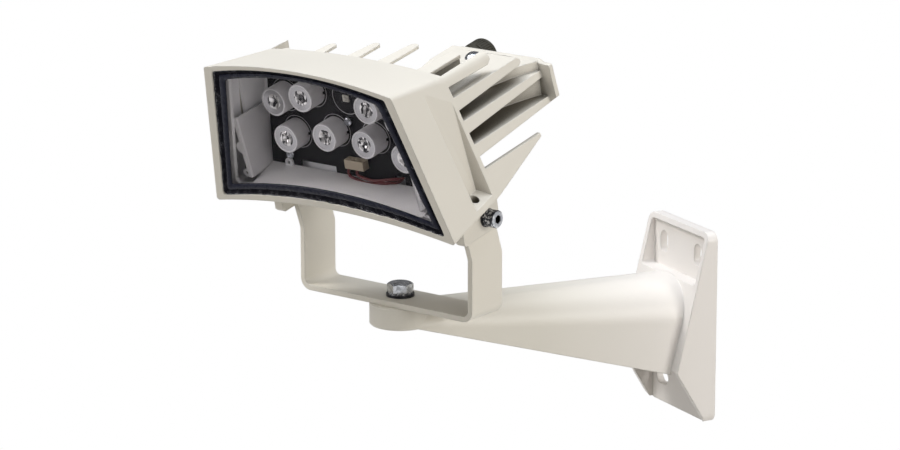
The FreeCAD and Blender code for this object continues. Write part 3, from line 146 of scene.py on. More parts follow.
# %% Helpers for materials
class Finish:
    """A material under construction."""

    output_kind = "ShaderNodeOutputMaterial"

    def __init__(self, name):
        self.begin(bpy.data.materials.new(name))
        self.place = self.node("ShaderNodeTexCoord", {}, {}, "Object")

    def begin(self, owner):
        """Starts from an empty tree of nodes."""
        self.owner = owner
        owner.use_nodes = True
        self.tree = owner.node_tree
        self.tree.nodes.clear()

    def node(self, kind, settings, sockets, output=0):
        """Adds a node, sets it, then fills its sockets with values or links."""
        node = self.tree.nodes.new(kind)
        for name, value in settings.items():
            setattr(node, name, value)
        named = sockets.items() if isinstance(sockets, dict) else enumerate(sockets)
        for key, value in named:
            if isinstance(value, Socket):
                self.tree.links.new(value.link, node.inputs[key])
            else:
                node.inputs[key].default_value = value
        return Socket(self, node.outputs[output])

    def in_head(self):
        """Coordinates across, back and up in the head, in metres from the tilt axis."""
        settings = {"vector_type": "TEXTURE"}
        sockets = {"Vector": self.place, "Location": HEAD.translation, "Rotation": HEAD.to_euler()}
        place = self.node("ShaderNodeMapping", settings, sockets)
        return [self.node("ShaderNodeSeparateXYZ", {}, (place,), axis) for axis in range(3)]

    def noise(self, scale, detail=2.0):
        """Soft noise with that many spots to the metre."""
        sockets = {"Vector": self.place, "Scale": scale, "Detail": detail}
        return self.node("ShaderNodeTexNoise", {}, sockets)

    def blend(self, amount, first, second):
        """A colour between two others. The Mix node keeps its colours in sockets 6 and 7."""
        sockets = {0: amount, 6: first, 7: second}
        return self.node("ShaderNodeMix", {"data_type": "RGBA"}, sockets, 2)

    def step(self, value, low, high):
        """0 at low and 1 at high, also where high is the smaller of the two."""
        return self.node("ShaderNodeMapRange", {"clamp": True}, (value, low, high, 0.0, 1.0))

    def bump(self, height, strength, distance, normal=None):
        """A normal for a skin of that height, on top of another normal if one is given."""
        sockets = {"Height": height, "Strength": strength, "Distance": distance}
        if normal:
            sockets["Normal"] = normal
        return self.node("ShaderNodeBump", {}, sockets)

    def mixed(self, share, first, second):
        """Two shaders in one."""
        return self.node("ShaderNodeMixShader", {}, {0: share, 1: first, 2: second})

    def surface(self, **sockets):
        """The usual shader, with words for its sockets, as the whole finish."""
        named = {name.replace("_", " "): value for name, value in sockets.items()}
        return self.finish_with(self.node("ShaderNodeBsdfPrincipled", {}, named))

    def finish_with(self, shader):
        """Sends a shader to the output, and gives back the finished material."""
        out = self.tree.nodes.new(self.output_kind)
        self.tree.links.new(shader.link, out.inputs[0])
        return self.owner


def rgb(red, green, blue):
    """An opaque colour."""
    return (red, green, blue, 1.0)


def darker(tone, share):
    """A colour at a share of its strength."""
    return rgb(*[channel * share for channel in tone[:3]])


print("material helpers ready")

# %% [markdown]
# ## The room behind the glass
#
# The housing is one casting, coated outside and bare grey metal in the room behind the glass.
# It could be cut in two for its two finishes, but the solid pieces stay as they are. So a mask
# in the head's own coordinates is 1 in the room and 0 outside. Its limits lie in the middle of
# the walls: two slanting sides, an arched roof and floor, the lip in front, the board behind.

# %% Limits of the room
LIP_FRONT = 63.2  # millimetres from the tilt axis forwards to the lip's plane
# All that follows is in metres. A slant is a loss of width for each metre up, and a taper is
# what a wall draws in for each metre back.
ROOM_HALF, SIDE_SLANT, SIDE_TAPER = 0.0940, 0.147, 0.07
FRONT_WIDER, FRONT_SLANT = 0.0104, 0.0777
ROOM_TOP, TOP_TAPER = 0.11305, 0.235
ROOM_LOW, LOW_TAPER = 0.02993, 0.1066
# Each limit fades over a short way, from its first number to its second.
ROOM_STEP = (-0.0365, -0.0369)
PAST_LIP = (0.0060, 0.0064)
BEFORE_BOARD = (-0.0262, -0.0265)
FADE = 0.0003


def behind_lip(back, up):
    """Metres behind the window's leaning lip."""
    return (back + LIP_FRONT / 1000) * math.cos(LEAN) + up * math.sin(LEAN)


def room_mask(coat):
    """1 on the walls of the room behind the glass, 0 on the outside of the casting."""
    across, back, up = coat.in_head()
    in_front = coat.step(back + up * math.tan(LEAN), *ROOM_STEP)
    half = (ROOM_HALF - up * SIDE_SLANT - back * SIDE_TAPER
            + in_front * (FRONT_WIDER - up * FRONT_SLANT))
    crown = across.math("MULTIPLY", across) * -1.0
    inside = coat.step(half - across.math("ABSOLUTE"), 0.0, FADE)
    under = coat.step(crown - back * TOP_TAPER - up + ROOM_TOP, 0.0, FADE)
    above = coat.step(up - crown - back * LOW_TAPER - ROOM_LOW, -FADE, 0.0)
    deep = coat.step(behind_lip(back, up), *PAST_LIP) * coat.step(back, *BEFORE_BOARD)
    return inside * under * above * deep


print("room from", ROOM_LOW, "to", ROOM_TOP, "above the tilt axis")

# %% [markdown]
# ## Painted shade and highlights on the coat
#
# Shade is painted into the narrow gaps between the fins, and a highlight is painted along the
# edges. An Ambient Occlusion node finds the narrow gaps by how little sky they see. A Bevel node
# gives the normal of a rounded edge, and where that differs from the flat one there is an edge.
# Both work on the shape itself, so no mask has to be drawn.

# %% Gaps and edges
GAP_SKY = (0.66, 0.20)  # shares of open sky, from a plain face to a dark gap
EDGE_LIKENESS, EDGE_HIGHLIGHT_SHARE = (0.985, 0.90), 0.55  # cosines between the flat and rounded normals
# colour of the painted shade in the narrow gaps
GAP_PAINTED_SHADE = rgb(0.10, 0.085, 0.06)
# colour of the painted highlight along the edges
EDGE_PAINTED_HIGHLIGHT = rgb(0.95, 0.93, 0.88)


def painted_gap_shade(coat, base, gap):
    """Paints shade into the gaps that are narrower than gap, in metres."""
    settings = {"samples": 8, "only_local": True}
    open_sky = coat.node("ShaderNodeAmbientOcclusion", settings, {"Distance": gap}, "AO")
    return coat.blend(coat.step(open_sky, *GAP_SKY), base, GAP_PAINTED_SHADE)


def painted_edge_highlight(coat, base, rounded):
    """Paints a highlight on a base along the edges."""
    plain = coat.node("ShaderNodeNewGeometry", {}, {}, "Normal")
    settings = {"operation": "DOT_PRODUCT"}
    likeness = coat.node("ShaderNodeVectorMath", settings, (rounded, plain), "Value")
    return coat.blend(coat.step(likeness, *EDGE_LIKENESS) * EDGE_HIGHLIGHT_SHARE, base, EDGE_PAINTED_HIGHLIGHT)


print("gap and edge tones", GAP_PAINTED_SHADE, EDGE_PAINTED_HIGHLIGHT)

# %% [markdown]
# ## Powder coat
#
# The castings are powder coated in a warm off-white. Powder melts into a skin with a very fine
# orange peel, so the gloss is soft. Fine noise makes the peel, wide faint noise keeps a big
# face from looking printed, and a few specks of darker grain show close up. Light is painted on
# the arm: its coat is painted paler towards the wall, so its colour changes along its length.

# %% Powder coat
BARE_TONES = (rgb(0.88, 0.885, 0.90), rgb(0.94, 0.945, 0.96))
TOWARDS_WALL = (-0.15, -0.01)  # along the arm, in metres from the wall


def powder_coat(name, tone, edge, gap=0.0, with_room=False, painted_wall_light=None):
    """The coat of one casting, with edges of that radius, and what the others ask for."""
    coat = Finish(name)
    cloud = coat.noise(22.0, detail=3.0)
    peel = coat.noise(900.0, detail=3.0)
    speck = coat.step(coat.noise(2600.0, detail=1.0), low=0.62, high=0.72)
    base = coat.blend(cloud, darker(tone, 0.965), tone)
    base = coat.blend(speck * 0.10, base, darker(tone, 0.8))
    # painted shade in the narrow gaps between the fins
    if gap:
        base = painted_gap_shade(coat, base, gap)
    if with_room:
        base = coat.blend(room_mask(coat), base, coat.blend(cloud, *BARE_TONES))
    # painted light: the arm is painted paler towards the wall
    if painted_wall_light:
        along = coat.node("ShaderNodeSeparateXYZ", {}, (coat.place,), "Y")
        base = coat.blend(coat.step(along, *TOWARDS_WALL), base, painted_wall_light)
    rounded = coat.node("ShaderNodeBevel", {"samples": 4}, {"Radius": edge})
    # the base gets a painted highlight along the edges
    return coat.surface(
        Base_Color=painted_edge_highlight(coat, base, rounded),
        Roughness=cloud * 0.08 + 0.36,
        Normal=coat.bump(peel, strength=0.16, distance=0.0004, normal=rounded),
    )


cream = powder_coat("powder_coat", rgb(0.74, 0.705, 0.63), edge=0.0011, gap=0.035, with_room=True)
cream_arm = powder_coat("powder_coat_arm", rgb(0.75, 0.72, 0.645), edge=0.0014,
                        painted_wall_light=rgb(0.84, 0.805, 0.77))
cream_steel = powder_coat("powder_coat_steel", rgb(0.77, 0.735, 0.655), edge=0.0012)
print("powder coats made")

# %% [markdown]
# ## Metals and mouldings
#
# The screws are zinc plated: bright, slightly blue, with a brushed unevenness, and dark patches
# that are partly stains and partly painted dark reflections. The plastics are moulded and matt.
# Two functions hold what each family shares, and each finish gives its own tone, gloss and size
# of grain, so that no two share a pattern.

# %% Two families of finishes
def plated(name, tone, rough, grain, dark_share):
    """Zinc: streaks in the gloss, and dark patches at a share of the tone given by the last
    argument, partly stains and partly painted dark reflections.
    """
    metal = Finish(name)
    streak = metal.noise(grain, detail=4.0)
    stain_and_reflection = metal.step(metal.noise(260.0, detail=3.0), low=0.35, high=0.75)
    # dark patches: partly stains, partly painted dark reflections
    return metal.surface(
        Base_Color=metal.blend(stain_and_reflection, tone, darker(tone, dark_share)),
        Metallic=1.0,
        Roughness=streak * 0.18 + rough,
        Normal=metal.bump(streak, strength=0.12, distance=0.0002),
    )


def moulded(name, tone, rough, grain, depth=0.15, uneven=0.9):
    """Plastic: a fine grain, and wide clouds that go down to a share, uneven, of the tone."""
    plastic = Finish(name)
    fine = plastic.noise(grain)
    wide = plastic.noise(60.0)
    return plastic.surface(
        Base_Color=plastic.blend(wide, darker(tone, uneven), tone),
        Roughness=wide * 0.1 + rough,
        Normal=plastic.bump(fine, strength=depth, distance=0.0003),
    )


zinc = plated("bright_zinc", rgb(0.60, 0.62, 0.66), rough=0.16, grain=700.0, dark_share=0.45)
dark_zinc = plated("dark_zinc", rgb(0.36, 0.37, 0.39), rough=0.20, grain=900.0, dark_share=0.3)
bolt_zinc = plated("bolt_zinc", rgb(0.80, 0.82, 0.86), rough=0.16, grain=500.0, dark_share=0.3)
black_zinc = plated("black_zinc", rgb(0.05, 0.052, 0.06), rough=0.25, grain=900.0, dark_share=0.4)
toothed_zinc = plated("toothed_zinc", rgb(0.75, 0.76, 0.79), rough=0.18, grain=1100.0, dark_share=0.06)
holder_grey = moulded("holder_grey", rgb(0.86, 0.85, 0.865), rough=0.45, grain=1500.0)
plug_beige = moulded("plug_beige", rgb(0.56, 0.48, 0.36), rough=0.45, grain=1400.0)
gland_black = moulded("gland_black", rgb(0.045, 0.042, 0.03), rough=0.42, grain=1600.0,
                      depth=0.2, uneven=0.6)
gland_rubber = moulded("gland_rubber", rgb(0.02, 0.02, 0.02), rough=0.7, grain=1300.0,
                       depth=0.3, uneven=0.6)
room_grey = moulded("room_grey", rgb(0.93, 0.925, 0.92), rough=0.5, grain=1900.0,
                    depth=0.3, uneven=0.93)
lead_red = moulded("lead_red", rgb(0.16, 0.028, 0.03), rough=0.5, grain=1800.0, depth=0.05)
print("families of finishes made")

# %% [markdown]
# ## Shields
#
# The two upright plates in the room are painted grey. The narrow flange in front catches the
# light that falls through the window, and that light is painted on: the flange is coloured nearly
# white. The flange is told from the plate by its place just behind the leaning glass.

# %% Shield paint
FLANGE_FROM = (-0.0491, -0.0494)  # metres back from the tilt axis, along the window's lean


def shield_paint():
    paint = Finish("shield_grey")
    _, back, up = paint.in_head()
    flange = paint.step(back + up * math.tan(LEAN), *FLANGE_FROM)
    cloud = paint.noise(55.0, detail=3.0)
    fine = paint.noise(1300.0)
    plate = paint.blend(cloud, rgb(0.66, 0.655, 0.665), rgb(0.82, 0.815, 0.825))
    # painted light: the flange is coloured nearly white, where light falls on it through the
    # window
    return paint.surface(
        Base_Color=paint.blend(flange, plate, rgb(0.95, 0.95, 0.96)),
        Roughness=cloud * 0.1 + 0.4,
        Normal=paint.bump(fine, strength=0.15, distance=0.0003),
    )


shield_grey = shield_paint()
print("shield paint made")

# %% [markdown]
# ## Side screws
#
# Each side screw has a bright end, a knurled side and a hexagon socket. The side's dark reflection
# and its small glints are painted, and so is the shade in the socket, which is painted black. All
# three are on one solid piece. The screws lie on the tilt axis, so the distance from that axis
# tells end from side, and the depth tells the socket.

# %% Socket screws
SIDE_FROM = (0.0061 ** 2, 0.0062 ** 2)  # squares of distances from the tilt axis
SOCKET_WITHIN = (0.0036 ** 2, 0.0035 ** 2)
SOCKET_MOUTH = (0.0979, 0.0977)  # distances from the head's middle
SOCKET_END = (0.0928, 0.0930)


def socket_screw():
    """Zinc with a bright end face, a blue-grey side with a painted dark reflection and painted
    glints, and a hexagon socket whose shade is painted black.
    """
    metal = Finish("socket_zinc")
    across, back, up = metal.in_head()
    out = across.math("ABSOLUTE")
    reach = back.math("POWER", 2.0) + up.math("POWER", 2.0)
    side = metal.step(reach, *SIDE_FROM)
    deep = (metal.step(reach, *SOCKET_WITHIN) * metal.step(out, *SOCKET_MOUTH)
            * metal.step(out, *SOCKET_END))
    streak = metal.noise(800.0, detail=4.0)
    # painted glints on the end and the side, and a painted dark reflection on the side
    painted_glint = metal.step(metal.noise(520.0, detail=3.0), low=0.52, high=0.60)
    bright = metal.blend(painted_glint, rgb(0.62, 0.64, 0.68), rgb(0.85, 0.86, 0.88))
    dark = metal.blend(painted_glint, rgb(0.055, 0.06, 0.075), rgb(0.55, 0.57, 0.62))
    tone = metal.blend(side, bright, dark)
    # the shade inside the hexagon socket is painted black
    return metal.surface(
        Base_Color=metal.blend(deep, tone, rgb(0.004, 0.004, 0.005)),
        Metallic=1.0 - deep,
        Roughness=streak * 0.15 + 0.24,
        Normal=metal.bump(streak, strength=0.15, distance=0.0002),
    )


socket_zinc = socket_screw()
print("screw finish made")

# %% [markdown]
# ## The window's seal
#
# The glass is bedded in black sealant that was pressed in by hand. Its skin is uneven, with a
# little pale dust on it and more of it caught at its outer edge, in front of the step. A
# smoother navy bead runs inside it.

# %% Sealant and bead
OUTER_EDGE = (0.0016, 0.0013)  # metres behind the lip


def sealant():
    seal = Finish("black_sealant")
    lumps = seal.noise(420.0, detail=4.0)
    _, back, up = seal.in_head()
    rim = seal.step(behind_lip(back, up), *OUTER_EDGE)
    thin_dust = seal.step(seal.noise(1500.0, detail=3.0), low=0.68, high=0.74) * 0.3
    rim_dust = seal.step(seal.noise(2300.0), low=0.57, high=0.63) * rim
    dust = (thin_dust + rim_dust).math("MINIMUM", 1.0)
    return seal.surface(
        Base_Color=seal.blend(dust, rgb(0.005, 0.005, 0.009), rgb(0.72, 0.73, 0.80)),
        Roughness=lumps * 0.25 + 0.30,
        Specular_IOR_Level=0.03,
        Normal=seal.bump(lumps, strength=0.5, distance=0.0010),
    )


def bead():
    rubber = Finish("navy_bead")
    ripple = rubber.noise(240.0, detail=3.0)
    return rubber.surface(
        Base_Color=rubber.blend(ripple, rgb(0.004, 0.005, 0.014), rgb(0.009, 0.011, 0.030)),
        Roughness=ripple * 0.2 + 0.18,
        Specular_IOR_Level=0.15,
        Normal=rubber.bump(ripple, strength=0.35, distance=0.0008),
    )


black_sealant = sealant()
navy_bead = bead()
print("seal finishes made")

# %% [markdown]
# ## The window's glass
#
# The window is toughened glass. A real refracting pane would need many light paths and leave the
# room dark. A clear shader mixed with a faint gloss lets the light straight through, so that the
# lenses behind it stay sharp and lit, and shows a little shine where the glass is seen aslant.

# %% Window glass and lens acrylic
def window_glass():
    glass = Finish("window_glass")
    haze = glass.noise(35.0)
    clear = glass.node("ShaderNodeBsdfTransparent", {}, {"Color": rgb(0.985, 0.978, 0.988)})
    gloss = glass.node("ShaderNodeBsdfGlossy", {},
                       {"Color": rgb(1.0, 1.0, 1.0), "Roughness": 0.04})
    slant = glass.node("ShaderNodeLayerWeight", {}, {"Blend": 0.5}, "Facing").math("POWER", 3.0)
    return glass.finish_with(glass.mixed(slant * 0.05 + haze * 0.002, clear, gloss))


def lens_acrylic():
    acrylic = Finish("lens_clear")
    swirl = acrylic.noise(300.0)
    return acrylic.surface(
        Base_Color=rgb(0.95, 0.96, 0.97),
        Roughness=swirl * 0.03 + 0.02,
        IOR=1.49,
        Transmission_Weight=1.0,
    )


clear_window = window_glass()
clear_lens = lens_acrylic()
print("glass made")

# %% [markdown]
# ## The lamp board
#
# The board is black solder mask: smooth, hardly glossy, with faint copper tracks that show as a
# slight change of tone and height under the mask. The cracks of a cell pattern make the tracks.
# The emitters are small pale yellow chips.

# %% Board and emitters
def board_mask():
    mask = Finish("board_black")
    cloth = mask.noise(1800.0)
    tracks = mask.node("ShaderNodeTexVoronoi", {"feature": "DISTANCE_TO_EDGE"},
                       {"Vector": mask.place, "Scale": 90.0})
    trace = mask.step(tracks, low=0.03, high=0.05)
    return mask.surface(
        Base_Color=mask.blend(trace, rgb(0.010, 0.009, 0.013), rgb(0.006, 0.0055, 0.008)),
        Roughness=cloth * 0.1 + 0.42,
        Specular_IOR_Level=0.15,
        Normal=mask.bump(trace + cloth * 0.2, strength=0.15, distance=0.0002),
    )


def emitter_chip():
    chip = Finish("emitter_yellow")
    grain = chip.noise(2500.0)
    return chip.surface(
        Base_Color=chip.blend(grain, rgb(0.55, 0.53, 0.45), rgb(0.75, 0.74, 0.68)),
        Roughness=grain * 0.1 + 0.12,
    )


board_black = board_mask()
emitter_yellow = emitter_chip()
print("board finishes made")

# %% [markdown]
# ## Dressing the solid pieces
#
# A solid piece whose shape is right stays as it is and only gets its finish, in its material
# slot. One table says which finish goes on which pieces, so nothing is left bare.

# %% Hand the finishes to the solid pieces
FINISHES = {
    cream_arm: ["wall_bracket"],
    cream_steel: ["yoke"],
    cream: ["head_housing", "rear_cover"],
    dark_zinc: ["cover_screws"],
    bolt_zinc: ["pan_bolt"],
    zinc: ["tilt_nuts", "board_screws", "earth_screw"],
    socket_zinc: ["tilt_screws"],
    toothed_zinc: ["pan_lock_washer", "tilt_lock_washers"],
    black_zinc: ["pan_flat_washer", "tilt_flat_washers"],
    clear_window: ["window_glass"],
    black_sealant: ["window_sealant", "rear_gasket"],
    navy_bead: ["window_bead"],
    board_black: ["led_board"],
    holder_grey: ["lens_holders", "board_posts"],
    clear_lens: ["lenses"],
    emitter_yellow: ["led_emitters"],
    plug_beige: ["board_plug"],
    lead_red: ["supply_leads"],
    shield_grey: ["shield_left", "shield_right"],
    gland_black: ["gland_body", "gland_cap"],
    gland_rubber: ["gland_seal"],
}
for finish, names in FINISHES.items():
    for name in names:
        mesh = nodes[name].data
        mesh.materials.clear()
        mesh.materials.append(finish)
print("finished", sum(len(names) for names in FINISHES.values()), "of", len(nodes))

# %% [markdown]
# ## Thicker leads and screw heads
#
# The two leads and the small bright screws look heavier in the photograph than in the solid
# model. A Displace modifier moves their skin outwards by a few tenths of a millimetre. Their
# meshes are loose triangles, so a Weld modifier joins the corners first, and no seam opens.

# %% Thicker leads and screws
ONE_CORNER = 0.000002
THICKER = (("supply_leads", 0.0004), ("board_screws", 0.0006), ("earth_screw", 0.0007))
for name, thicker in THICKER:
    nodes[name].modifiers.new("join", "WELD").merge_threshold = ONE_CORNER
    sleeve = nodes[name].modifiers.new("sleeve", "DISPLACE")
    sleeve.mid_level = 0.0
    sleeve.strength = thicker
print("thicker", THICKER)

# %% [markdown]
# ## Picking a piece and seating it
#
# An operator works on all that is selected, and the solid pieces start out selected. So each
# helper first deselects everything, then picks its own piece. A finished piece's place is
# applied to its mesh, which leaves the object at the origin, as the solid pieces' objects are.

# %% Helpers for any piece
def clear_selection():
    bpy.ops.object.select_all(action="DESELECT")


def pick(piece):
    """Selects one piece alone and makes it the active one."""
    clear_selection()
    piece.select_set(True)
    bpy.context.view_layer.objects.active = piece


def tidy_mesh(piece):
    """Merges doubled corners and turns every face outwards."""
    pick(piece)
    bpy.ops.object.mode_set(mode="EDIT")
    bpy.ops.mesh.select_all(action="SELECT")
    bpy.ops.mesh.remove_doubles(threshold=ONE_CORNER)
    bpy.ops.mesh.normals_make_consistent(inside=False)
    bpy.ops.object.mode_set(mode="OBJECT")


def apply_place(piece, place):
    """Sends a piece to its place and applies that to its mesh."""
    pick(piece)
    piece.matrix_world = place
    bpy.ops.object.transform_apply(location=True, rotation=True, scale=True)


def seat(piece, place, finishes, body="head"):
    """Applies a piece's place to its mesh, then gives it its finishes and its body."""
    apply_place(piece, place)
    for finish in finishes:
        piece.data.materials.append(finish)
    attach(piece, body)
    return piece


print("helpers for any piece ready")

# %% [markdown]
# ## An endless band
#
# The seal, the printed rings and the shield's ears are endless: a short profile that goes round
# and meets itself. Such a band starts as a flat grid that is laid round its path, row by row.
# Its seams are then merged and its normals made to agree.

# %% Helper for endless bands
def banded(name, rows):
    """An endless band: each row is a closed loop of points, and the last row meets the first."""
    across, along = len(rows[0]), len(rows)
    clear_selection()
    bpy.ops.mesh.primitive_grid_add(x_subdivisions=across, y_subdivisions=along, size=2.0)
    piece = bpy.context.object
    piece.name = name
    for corner in piece.data.vertices:
        column = round((corner.co.x + 1) / 2 * across) % across
        row = round((corner.co.y + 1) / 2 * along) % along
        corner.co = rows[row][column]
    tidy_mesh(piece)
    return piece


print("band helper ready")

# %% [markdown]
# ## The outline of the window
#
# Black sealant lies in the step of the lip and over the edge of the glass. On its inner half
# runs a soft round bead. Both follow the outline of the lip: an arched top, an arched foot and
# two slanting sides, with rounded corners. One function gives that outline at any share of the
# seal's width and any depth, so that both bands can be laid along it. The opening narrows
# towards the glass, so every size has a taper.

# %% Sizes of the lip
SEAL_WIDTH = (9.4, 5.8, 10.4)  # at the sides, the top and the foot, in millimetres
BARE_RIM = (6.8, 2.8, 5.2)  # of the lip outside the seal, at the same places
TOP_HALF, TOP_HALF_TAPER = 85.2, 0.075
FOOT_HALF, FOOT_HALF_TAPER = 110.2, 0.103
FOOT_SLANT = 1.1  # how much longer a width across a slanting side is when measured level
TOP_HEIGHT, TOP_HEIGHT_TAPER = 127.0, 0.172
FOOT_HEIGHT, FOOT_HEIGHT_TAPER = 9.5, 0.117
TOP_CROWN, TOP_CROWN_TAPER = 9.0, 0.0625
FOOT_CROWN, FOOT_CROWN_TAPER = 11.0, 0.009
CORNER_CUT = 2.6
TOP_STEPS, FOOT_STEPS, SIDE_STEPS, CORNER_STEPS = 60, 72, 30, 4
print("lip", 2 * TOP_HALF, "wide above and", 2 * FOOT_HALF, "below, in millimetres")

# %% [markdown]
# The outline is put together from edges: an arc, a slanting side and a rounded corner each get a
# small function. All edges run the same way round.

# %% Edges of the outline
def arch(half, base, crown, x):
    """Height of an arc that rises by crown over a base line, at x."""
    radius = (half * half + crown * crown) / (2 * crown)
    return base + crown - radius + math.sqrt(radius * radius - x * x)


def arched_edge(half, base, crown, way, steps):
    """Points along an arc that stops short of its corners, to the right or, at way -1, back."""
    points = []
    for i in range(steps + 1):
        x = (half - CORNER_CUT) * (2 * i / steps - 1) * way
        points.append(Vector((x, arch(half, base, crown, x))))
    return points


def rounded_corner(before, corner, after):
    """Points that round a corner off, without the first."""
    points = []
    for i in range(1, CORNER_STEPS + 1):
        t = i / CORNER_STEPS
        points.append(before * (1 - t) ** 2 + corner * (2 * t * (1 - t)) + after * t ** 2)
    return points


def slanting_side(before, start, end, after):
    """Points from one edge's last point round two corners to the next edge's first."""
    way = (end - start).normalized() * CORNER_CUT
    first, last = start + way, end - way
    points = rounded_corner(before, start, first)
    points += [first.lerp(last, i / SIDE_STEPS) for i in range(1, SIDE_STEPS + 1)]
    points += rounded_corner(last, end, after)
    return points


print("edges ready")

# %% [markdown]
# The four edges then make the loop, which leans back with the window.

# %% The outline itself
def window_loop(share, depth):
    """The outline at a share of the seal's width, and a depth behind the lip, in millimetres."""
    side, top, foot = [share * width for width in SEAL_WIDTH]
    rim_side, rim_top, rim_foot = BARE_RIM
    half_top = TOP_HALF - rim_side - side - depth * TOP_HALF_TAPER
    half_foot = FOOT_HALF - (rim_side + side) * FOOT_SLANT - depth * FOOT_HALF_TAPER
    high = TOP_HEIGHT - rim_top - top - depth * TOP_HEIGHT_TAPER
    low = FOOT_HEIGHT + rim_foot + foot + depth * FOOT_HEIGHT_TAPER
    crown_top = TOP_CROWN - depth * TOP_CROWN_TAPER
    crown_foot = FOOT_CROWN - depth * FOOT_CROWN_TAPER
    top_edge = arched_edge(half_top, high, crown_top, 1, TOP_STEPS)
    foot_edge = arched_edge(half_foot, low, crown_foot, -1, FOOT_STEPS)
    top_right, foot_right = Vector((half_top, high)), Vector((half_foot, low))
    top_left, foot_left = Vector((-half_top, high)), Vector((-half_foot, low))
    flat = top_edge + slanting_side(top_edge[-1], top_right, foot_right, foot_edge[0])
    flat += foot_edge[1:] + slanting_side(foot_edge[-1], foot_left, top_left, top_edge[0])[:-1]
    lean_back, lean_up = math.sin(LEAN), math.cos(LEAN)
    return [Vector((p.x, -LIP_FRONT + depth - p.y * lean_back, p.y * lean_up)) / 1000
            for p in flat]


print("points on the outline", len(window_loop(0.0, 1.0)))

# %% [markdown]
# ## Band and bead of the seal
#
# A profile is a list of (share of the width, depth) pairs, and each pair becomes one loop. The
# band's outer edge climbs unevenly up the step, because it was wiped by hand, so its first loops
# are pushed to and fro by noise, coarse and fine. The bead only swells and sinks a little.

# %% Band and bead of the seal
OUT = Vector((0, -math.cos(LEAN), -math.sin(LEAN)))
BAND_PROFILE = ((0.0, 0.85), (0.04, 1.3), (0.12, 1.6), (0.97, 1.7), (1.0, 2.0), (0.74, 4.38),
                (0.0, 4.38))
BEAD_PROFILE = ((0.44, 1.75), (0.47, 1.35), (0.53, 1.0), (0.63, 0.78), (0.74, 0.74), (0.84, 0.85),
                (0.92, 1.15), (0.985, 1.75))
# which loop, by how many millimetres, and how many lumps to the metre
BAND_LUMPS = ((0, 0.8, 900.0), (0, 0.25, 160.0), (1, 0.5, 500.0), (2, 0.25, 300.0))
BEAD_LUMPS = [(i, 0.35, 90.0 + 30 * i) for i in range(1, 7)]
SMOOTH_BELOW = math.radians(50)


def seal_piece(name, profile, lumps, finish):
    """A band along the window, with its lumps."""
    rows = [window_loop(*point) for point in profile]
    for row, amount, grain in lumps:
        rows[row] = [point + OUT * (noise.noise(point * grain) * amount / 1000)
                     for point in rows[row]]
    piece = seat(banded(name, rows), HEAD, [finish])
    pick(piece)
    bpy.ops.object.shade_smooth_by_angle(angle=SMOOTH_BELOW)
    return piece


band = seal_piece("seal_band", BAND_PROFILE, BAND_LUMPS, black_sealant)
bead_ring = seal_piece("seal_bead", BEAD_PROFILE, BEAD_LUMPS, navy_bead)
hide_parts("window_sealant")
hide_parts("window_bead")
print("seal faces", len(band.data.polygons), len(bead_ring.data.polygons))

# %% [markdown]
# ## The room's floor
#
# Behind the glass a pale shelf rises from the lower edge of the window to the board. Its front
# edge follows the arch of the window, and its back edge is straight, so it is a grid whose rows
# go from the one line to the other, given a thickness downwards.

# %% Floor of the room
SHELF_HALF = 79.0
SHELF_FRONT = (93.0, 21.0, 11.0)  # half width, height and crown of the front edge's arc
SHELF_START = -56.2  # how far back the front edge starts, before it leans with the window
BACK_EDGE, BACK_HEIGHT = -31.7, 31.8
SHELF_THICKNESS = 0.0006

clear_selection()
bpy.ops.mesh.primitive_grid_add(x_subdivisions=60, y_subdivisions=8, size=2.0)
shelf = bpy.context.object
shelf.name = "room_floor"
for corner in shelf.data.vertices:
    x = corner.co.x * SHELF_HALF
    share = (corner.co.y + 1) / 2
    low = arch(*SHELF_FRONT, x)
    front = SHELF_START - low * math.sin(LEAN)
    y = front + share * (BACK_EDGE - front)
    corner.co = Vector((x, y, low + share * (BACK_HEIGHT - low))) / 1000
thicken = shelf.modifiers.new("thickness", "SOLIDIFY")
thicken.thickness = SHELF_THICKNESS
thicken.offset = -1.0
bpy.ops.object.modifier_apply(modifier=thicken.name)
tidy_mesh(shelf)
seat(shelf, HEAD, [room_grey])
print("shelf faces", len(shelf.data.polygons))

# %% [markdown]
# ## Finishes of a lens
#
# Each lens is a clear moulded cap on its grey holder. From the front one sees a bright rim, a
# pale greyish face and, in the middle, a deep well that sparkles, with a dark pit at its end.
# True refraction would show mostly noise at this size, so each of the four zones gets its own
# finish, with its light painted in: a painted highlight on the rim, painted sparkle in the well
# and painted shade in the pit. The painted sparkle is a cell pattern stretched along the lens,
# whose cells are bright or black.

# %% Finishes of the lens zones
FACET_TURN, FACET_STRETCH = (0.0, 0.7, 0.4), (1.0, 1.0, 0.3)


def lens_zone(name, tone, rough, metal):
    zone = Finish(name)
    haze = zone.noise(900.0)
    return zone.surface(
        Base_Color=zone.blend(haze, tone, darker(tone, 0.8)),
        Roughness=haze * 0.1 + rough,
        Metallic=metal,
        Coat_Weight=0.6,
        Normal=zone.bump(haze, strength=0.1, distance=0.0002),
    )


def painted_lens_sparkle():
    """The optic in the middle: painted sparkle of small facets that are either bright or black."""
    zone = Finish("lens_well_painted_sparkle")
    streaks = zone.node("ShaderNodeMapping", {}, {
        "Vector": zone.place, "Rotation": FACET_TURN, "Scale": FACET_STRETCH})
    cells = zone.node("ShaderNodeTexVoronoi", {}, {"Vector": streaks, "Scale": 620.0}, "Color")
    bright = zone.step(zone.node("ShaderNodeSeparateColor", {}, (cells,)), low=0.42, high=0.55)
    return zone.surface(
        Base_Color=zone.blend(bright, rgb(0.03, 0.03, 0.035), rgb(0.97, 0.96, 0.95)),
        Metallic=bright * 0.4,
        Roughness=bright * 0.1 + 0.05,
    )


